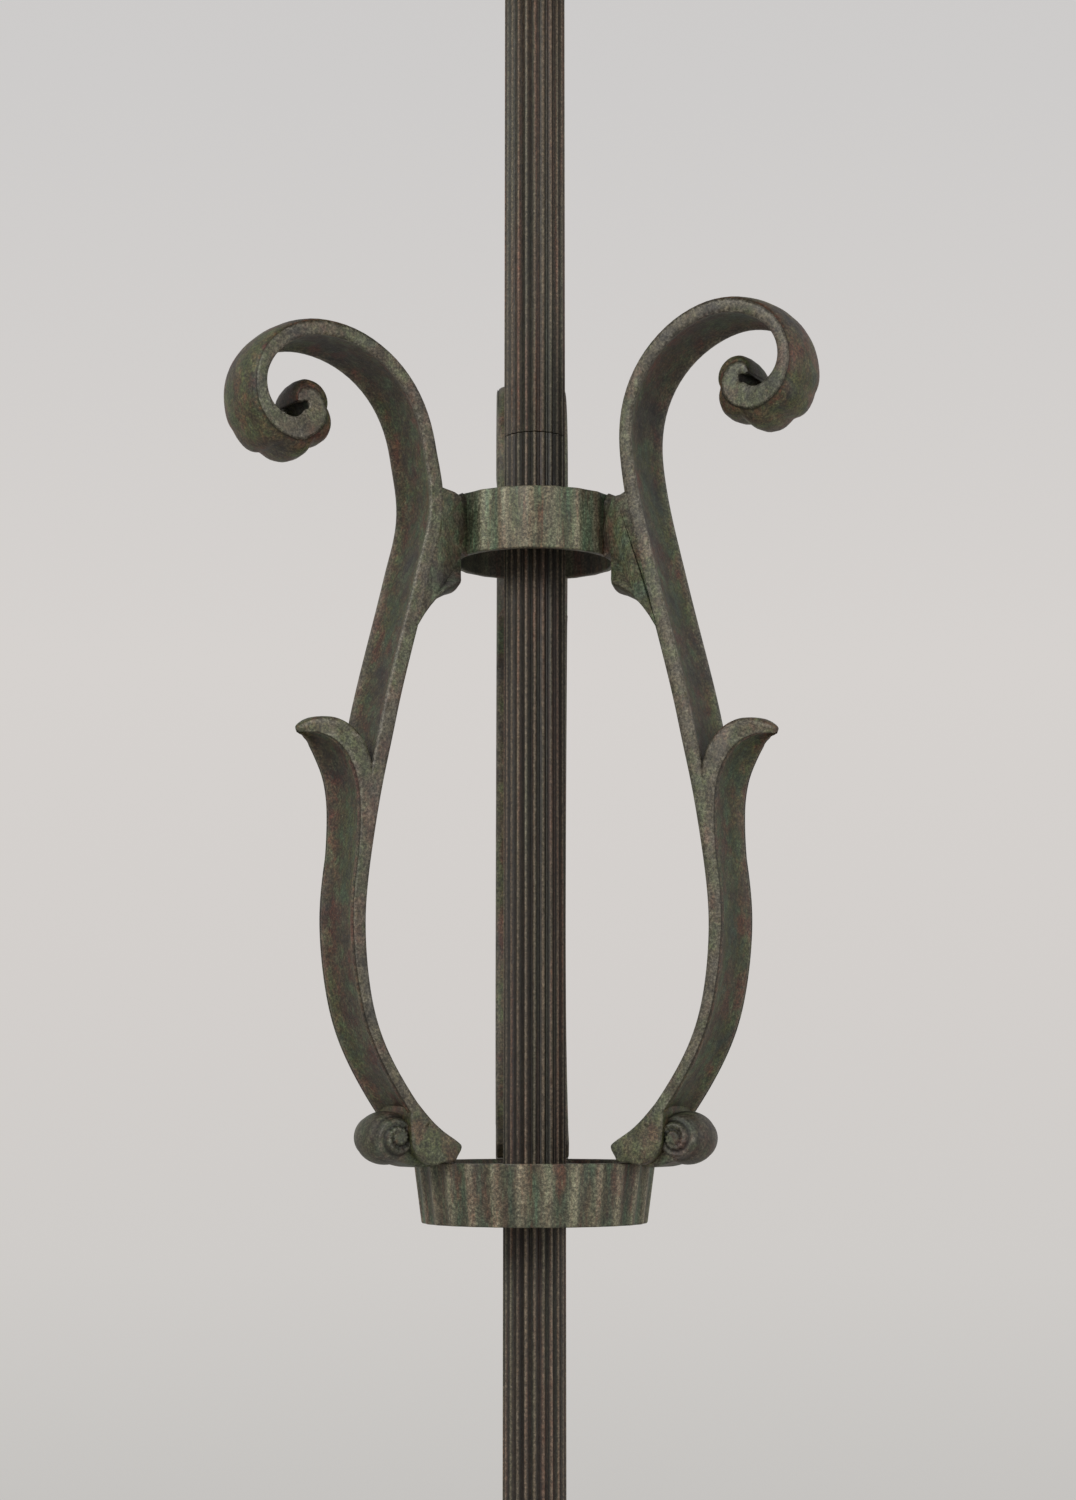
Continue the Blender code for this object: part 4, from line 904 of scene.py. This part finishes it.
def turned(name, profile, finish, steps=144, rounding=0.4 * MM):
    """A closed profile of (radius, height) spun round the axis; points on the axis become one point."""
    line = round_profile(profile, rounding)
    points, faces, rows = [], [], []
    values = {key: [] for key in ATTRIBUTES}
    for (x, z), corner in line:
        count = 1 if x < 1e-6 else steps
        rows.append(range(len(points), len(points) + count))
        for k in range(count):
            a = 2 * pi * k / steps
            points.append((x * cos(a), x * sin(a), z))
        # Inner corners get green and a little painted shade; outer corners get the worn rub
        numbers = (0.35 + 0.6 * (corner < 0), 0.1 + 0.7 * (corner > 0), 0.25 * (corner < 0), TURNED_RUST)
        for key, number in zip(ATTRIBUTES, numbers):
            values[key] += [number] * count
    pairs = list(zip(rows, rows[1:] + rows[:1]))
    for low, high in pairs:
        if len(low) == 1 and len(high) == 1:
            continue
        for k in range(steps):
            j = (k + 1) % steps
            corners = (low[k % len(low)], low[j % len(low)], high[j % len(high)], high[k % len(high)])
            faces.append(tuple(dict.fromkeys(corners)))
    made = joined(name, [(points, faces, values)], finish)
    made.data.set_sharp_from_angle(angle=radians(50))
    return made


def outset(line, distance):
    """An open line moved to its left, as seen going along it."""
    moved = []
    for i, (x, z) in enumerate(line):
        x0, z0 = line[max(i - 1, 0)]
        x1, z1 = line[min(i + 1, len(line) - 1)]
        run = hypot(x1 - x0, z1 - z0)
        moved.append((x - distance * (z1 - z0) / run, z + distance * (x1 - x0) / run))
    return moved


PIPE_HOLE = 5.4 * MM
SOCKET_R = STEM_R + 0.3 * MM
SOCKET_DEPTH = 16 * MM

# The lower ring's floor and hub
HUB_R = 17.8 * MM
floor_foot, floor_top, hub_top = LOWER_FOOT + 5 * MM, LOWER_FOOT + 9 * MM, LOWER_FOOT + 22 * MM
floor_r = LOWER_R - 4.6 * MM
hub_floor = turned("lower_ring_floor", [
    (SOCKET_R, hub_top), (HUB_R, hub_top), (HUB_R, floor_top), (floor_r, floor_top), (floor_r, floor_foot),
    (SOCKET_R, floor_foot)], RING_BRONZE, rounding=0.8 * MM)
stands_for(hub_floor, "lyre_lower_ring")


# %% [markdown]
# ## Base, crown and bowl
# The base is a fluted ring under a domed cover that sweeps up to a turned collar. The bowl is spun from
# thin sheet, so the lathe has left fine rings on it, and its edge is rolled to a bead.

# %% Spun bronze and the turned pieces
def spun_bronze():
    """Satin inside and out, with fine turning marks round the axis."""
    made, tree, shader, place = start_material("spun bronze", Metallic=0.8, Roughness=0.42)
    cloud = grain(tree, place, 40 * MM, 4, 0.6)
    base = ramp(tree, cloud, [(0.34, "#5b4c33"), (0.50, "#6d5b3c"), (0.66, "#54503a")])
    stain = math(tree, "MULTIPLY", spots(tree, place, 9 * MM, 0.55, 0.70), 0.35)
    base = mix(tree, stain, base, colour("#4a5a45"))
    tree.links.new(base, shader.inputs["Base Color"])
    x, y, z = add(tree, "ShaderNodeSeparateXYZ", links={"Vector": place}).outputs
    reach = math(tree, "SQRT", math(tree, "ADD", math(tree, "MULTIPLY", x, x), math(tree, "MULTIPLY", y, y)))
    rings = add(tree, "ShaderNodeCombineXYZ", links={"X": reach, "Z": z}).outputs["Vector"]
    marks = grain(tree, rings, 0.9 * MM, 2, 0.6)
    tree.links.new(ramp(tree, marks, [(0.3, 0.36), (0.7, 0.48)]), shader.inputs["Roughness"])
    bump = add(tree, "ShaderNodeBump", {"Strength": 0.35, "Distance": 0.1 * MM}, {"Height": marks})
    tree.links.new(bump.outputs["Normal"], shader.inputs["Normal"])
    return made


SPUN_BRONZE = spun_bronze()
foot, top, radius = extent("base_dome")
rise, neck = top - foot, 24 * MM
dome_line = smooth([
    (neck, top), (neck + 2 * MM, foot + 0.82 * rise), (neck + 12 * MM, foot + 0.60 * rise),
    (0.36 * radius, foot + 0.46 * rise), (0.62 * radius, foot + 0.34 * rise),
    (0.84 * radius, foot + 0.25 * rise), (radius - 8 * MM, foot + 0.18 * rise)], 8)
dome_line += [(radius - 2 * MM, foot + 0.11 * rise), (radius, foot + 0.05 * rise), (radius, foot)]
wall = 4 * MM
dome_under = [
    (radius - 15 * MM, foot), (0.80 * radius, foot + 0.25 * rise - wall),
    (0.36 * radius, foot + 0.46 * rise - wall), (neck + 6 * MM, foot + 0.60 * rise - wall),
    (neck - wall, foot + 0.80 * rise - wall), (neck - wall, top - wall), (PIPE_HOLE, top - wall)]
dome = turned("turned_base_dome", [(PIPE_HOLE, top), *dome_line, *dome_under], ARM_BRONZE, 192)
stands_for(dome, "base_dome")

foot, top, radius = extent("base_collar")
collar_line = smooth([
    (SOCKET_R + 3.5 * MM, top - 1.5 * MM), (SOCKET_R + 4.5 * MM, top - 4 * MM),
    (SOCKET_R + 2 * MM, top - 9 * MM), (SOCKET_R + 2 * MM, top - 14 * MM),
    (radius - 5.5 * MM, foot + 10 * MM), (radius - 0.5 * MM, foot + 6 * MM), (radius, foot + 3 * MM)], 6)
collar = turned("turned_base_collar", [
    (SOCKET_R, top), (SOCKET_R + 2 * MM, top), *collar_line, (radius - 1 * MM, foot), (PIPE_HOLE, foot),
    (PIPE_HOLE, top - SOCKET_DEPTH), (SOCKET_R, top - SOCKET_DEPTH)], ARM_BRONZE)
stands_for(collar, "base_collar")

foot, top, radius = extent("crown_cup")
spigot, under, ring_foot = 23.7 * MM, top - 4 * MM, top - 18 * MM
cup_line = smooth([(spigot, ring_foot - 0.5 * MM), (spigot - 4 * MM, ring_foot - 4 * MM),
                   (SOCKET_R + 3 * MM, foot + 4 * MM)], 6)
crown_cup = turned("turned_crown_cup", [
    (PIPE_HOLE, top), (radius, top), (radius, under), (spigot, under), *cup_line, (SOCKET_R + 3 * MM, foot),
    (SOCKET_R, foot), (SOCKET_R, foot + SOCKET_DEPTH), (PIPE_HOLE, foot + SOCKET_DEPTH)], ARM_BRONZE)
stands_for(crown_cup, "crown_cup")

foot, top, radius = extent("bowl")
seat, wall = 40 * MM, 2 * MM
bowl_line = smooth([(seat + (radius - seat) * x, foot + (top - foot) * z) for x, z in (
    (1.0, 1.0), (0.985, 0.86), (0.90, 0.62), (0.74, 0.38), (0.52, 0.19), (0.27, 0.07), (0.08, 0.012))]
    + [(seat, foot)], 8)
bowl_inside = outset(bowl_line[:-1], -wall)
bowl_inside[0] = (bowl_line[0][0] - wall, top)
spun_bowl = turned("spun_bowl", [
    *bowl_line, (PIPE_HOLE, foot), (PIPE_HOLE, foot + wall), (seat, foot + wall), *bowl_inside[::-1]],
    SPUN_BRONZE, 256)
stands_for(spun_bowl, "bowl")

foot, top, radius = extent("bowl_rim")
bead_r = (top - foot) / 2
bead_x, bead_z = radius - bead_r, (top + foot) / 2
# Half the groove that the bowl's edge sits in
groove = 1.3 * MM
start = radians(-90) + groove / bead_r
turn = 2 * pi - 2 * groove / bead_r
bead = []
for i in range(32, -1, -1):
    a = start + turn * i / 32
    bead.append((bead_x + bead_r * cos(a), bead_z + bead_r * sin(a)))
bead += [(bead_x + groove, bead_z + 0.3 * MM), (bead_x - groove, bead_z + 0.3 * MM)]
stands_for(turned("rolled_bowl_rim", bead, SPUN_BRONZE, 256, rounding=0.1 * MM), "bowl_rim")


# %% [markdown]
# ## Finishes of the small pieces
# Screws, washers, pipe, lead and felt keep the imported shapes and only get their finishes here. The brass,
# the black plastic and the opal glass are for the lampholder, the lamp and the switch, which come next.

# %% Small materials
def plain(name, code, roughness, metallic=0.0, grain_size=2 * MM, spread=0.08, **values):
    """A plain finish whose roughness varies a little."""
    made, tree, shader, place = start_material(name, Metallic=metallic, **values)
    shader.inputs["Base Color"].default_value = colour(code)
    fine = ramp(tree, grain(tree, place, grain_size), [(0.3, roughness - spread), (0.7, roughness + spread)])
    tree.links.new(fine, shader.inputs["Roughness"])
    return made


# Fresh off the lathe under a thin lacquer: warm, with soft-edged highlights
BRASS = plain("turned brass", "#b8995c", 0.34, 1.0)
# Bright zinc, a little cloudy
STEEL = plain("zinc plated steel", "#a3a5a6", 0.38, 1.0)
# Sand cast and painted over: dull and uneven
IRON = plain("cast iron", "#2e2d2c", 0.68, 0.6, spread=0.12)
# Phenolic, pressed in a polished mould
BLACK = plain("moulded black plastic", "#121212", 0.36)
# Extruded sheath, half matt
RUBBER = plain("black cable sheath", "#161616", 0.55)
# Short fibres that scatter light at grazing angles
FELT = plain("pressed wool felt", "#2c4434", 0.92, grain_size=0.7 * MM, spread=0.05, Sheen_Weight=0.5)
# White layer inside clear glass: light sinks in before it comes back
OPAL = plain("opal glass", "#efeee6", 0.24, spread=0.05, Subsurface_Weight=0.4, Subsurface_Scale=4 * MM)
FINISHES = {
    "felt_pad": FELT, "cable_gland": BRASS, "base_weight": IRON, "base_washer": STEEL, "base_nut": BRASS,
    "terminal_block": BLACK, "draw_pipe": STEEL, "inner_lead": RUBBER, "stem_coupler": BRASS,
    "lyre_grub_screw": STEEL, "bowl_washer": STEEL, "bowl_nut": BRASS, "holder_contact": BRASS,
}
for side in ARMS:
    FINISHES[f"foot_stud_{side}"] = STEEL
    FINISHES[f"ring_pin_{side}"] = ARM_BRONZE
for node, finish in FINISHES.items():
    for material_slot in bpy.data.objects[node].material_slots:
        material_slot.material = finish
print("finished nodes:", len(FINISHES))


# %% [markdown]
# ## The lampholder and the lamp
# The cap is turned brass with a rolled lip. The black body has three grip rings and is open at the top,
# where the lamp's own cap goes in. The lamp's envelope is a sphere that runs down into its neck in one
# smooth line.

# %% Turn the holder and the lamp
foot, top, radius = extent("holder_cap")
wall = 2 * MM
holder_cap = turned("turned_holder_cap", [
    (radius - wall, top), (radius, top), (radius, top - 2.4 * MM), (radius - 0.5 * MM, top - 3 * MM),
    (radius - 0.5 * MM, foot + 5 * MM), (radius - 4 * MM, foot), (PIPE_HOLE, foot), (PIPE_HOLE, foot + wall),
    (radius - 5 * MM, foot + wall), (radius - wall, foot + 5.5 * MM)], BRASS, rounding=0.6 * MM)
stands_for(holder_cap, "holder_cap")

foot, top, radius = extent("holder_body")
neck, wall = radius - 2.2 * MM, 3.5 * MM
body_line = [(radius, top)]
for grip in (8, 12, 16):
    body_line += [(radius, top - grip * MM), (radius - 0.8 * MM, top - (grip + 0.8) * MM),
                  (radius - 0.8 * MM, top - (grip + 1.6) * MM), (radius, top - (grip + 2.4) * MM)]
holder_body = turned("moulded_holder_body", [
    (radius - wall, top), *body_line, (radius, foot + 3 * MM), (neck, foot + 3 * MM), (neck, foot),
    (0.0, foot), (0.0, foot + 8 * MM), (radius - wall, foot + 8 * MM)], BLACK, rounding=0.5 * MM)
stands_for(holder_body, "holder_body")

foot, top, radius = extent("lamp_cap")
thread = [(radius - 0.35 * MM * (1 + cos(pi * i)), top - (3 + 1.1 * i) * MM) for i in range(14)]
lamp_cap = turned("threaded_lamp_cap", [
    (radius - 0.8 * MM, top), (radius, top), *thread, (radius - 1 * MM, foot + 5 * MM),
    (6 * MM, foot + 1.5 * MM), (6 * MM, foot), (0.0, foot), (0.0, foot + 4 * MM),
    (radius - 0.8 * MM, foot + 6 * MM)], BRASS)
stands_for(lamp_cap, "lamp_cap")

cap_top, neck = top, radius - 1 * MM
foot, top, radius = extent("lamp_glass")
ball = [(radius * cos(radians(a)), top - radius + radius * sin(radians(a))) for a in range(84, -37, -6)]
shoulder = smooth([
    ball[-1], (neck + 5 * MM, cap_top + 17 * MM), (neck + 1 * MM, cap_top + 7 * MM), (neck, cap_top)], 6)
lamp_line = [(0.0, top), *ball[:-1], *shoulder, (neck, foot), (0.0, foot)]
stands_for(turned("opal_lamp_glass", lamp_line, OPAL, rounding=0.3 * MM), "lamp_glass")


# %% [markdown]
# ## The switch knob
# The knob is the fluted tree again, small and with deep narrow flutes, laid on its side. It rides on the
# `switch` body. Its mesh is turned and moved into place, and the object itself stays at the origin, so that
# it turns about its own axis when the switch moves.

# %% Lay the knob on its side
low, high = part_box("switch_knob")
KNOB_R = (high[2] - low[2]) / 2
KNOB_LENGTH = 8 * MM
SHAFT_R = 1.7 * MM
knob_place = Matrix.Translation((high[0] - KNOB_LENGTH, 0, (low[2] + high[2]) / 2))
onto_axis = knob_place @ Matrix.Rotation(pi / 2, 4, "Y")
knob = grown("knurled_switch_knob", FLUTED, BLACK, Radius=KNOB_R, Foot_Radius=KNOB_R, Bore=SHAFT_R - 0.1 * MM,
             Foot=0.0, Height=KNOB_LENGTH, Depth=0.7 * MM, Land=0.3, Rounding=0.6 * MM, Flutes=18)
shaft_foot = low[0] - (high[0] - KNOB_LENGTH)
shaft_end = KNOB_LENGTH - 0.4 * MM
shaft_line = [(0.0, shaft_end), (SHAFT_R, shaft_end), (SHAFT_R, shaft_foot), (0.0, shaft_foot)]
shaft = turned("switch_shaft", shaft_line, BRASS, 48)
for piece in (knob, shaft):
    piece.data.transform(onto_axis)
    stands_for(piece, "switch_knob", SWITCH)


# %% [markdown]
# ## The studio
# A pale floor, a light surround that is brightest a little above the horizon and falls off upwards and
# downwards, one broad soft light from the front and above on the left, and a weaker one on the right. The
# surround is what bare metal reflects, so it matters as much as the lights.

# %% Floor, surround and lights
floor_mesh = bpy.data.meshes.new("floor")
disc = bmesh.new()
bmesh.ops.create_circle(disc, cap_ends=True, segments=96, radius=5.0)
disc.to_mesh(floor_mesh)
disc.free()
floor_finish, _, floor_shader, _ = start_material("pale floor", Roughness=0.7)
floor_shader.inputs["Base Color"].default_value = colour("#d3cfcb")
floor_mesh.materials.append(floor_finish)
floor = bpy.data.objects.new("floor", floor_mesh)
floor.location.z = -0.5 * MM
bpy.context.scene.collection.objects.link(floor)

world = bpy.data.worlds.new("surround")
world.use_nodes = True
bpy.context.scene.world = world
sky = world.node_tree
background = sky.nodes["Background"]
direction = add(sky, "ShaderNodeTexCoord").outputs["Generated"]
height = add(sky, "ShaderNodeSeparateXYZ", links={"Vector": direction}).outputs["Z"]
shade = ramp(sky, math(sky, "ADD", math(sky, "MULTIPLY", height, 0.5), 0.5), [
    (0.0, "#a9a6a3"), (0.42, "#c3c1be"), (0.47, "#cfccc9"), (0.52, "#d3cfcc"), (0.58, "#d6d2cf"),
    (0.68, "#cecccb"), (1.0, "#bcbbbb")])
sky.links.new(shade, background.inputs["Color"])


def soft_light(name, place, target, size, power):
    data = bpy.data.lights.new(name, "AREA")
    data.shape = "DISK"
    data.size = size
    data.energy = power
    made = bpy.data.objects.new(name, data)
    made.location = place
    made.rotation_euler = (Vector(target) - Vector(place)).to_track_quat("-Z", "Y").to_euler()
    bpy.context.scene.collection.objects.link(made)


lyre_middle = (0, 0, (LOWER_FOOT + UPPER_TOP) / 2)
soft_light("key", (-1.6, -2.2, 2.6), lyre_middle, 1.4, 60)
soft_light("fill", (2.4, -1.4, 1.5), lyre_middle, 1.6, 22)
bpy.context.scene.view_settings.view_transform = "Standard"
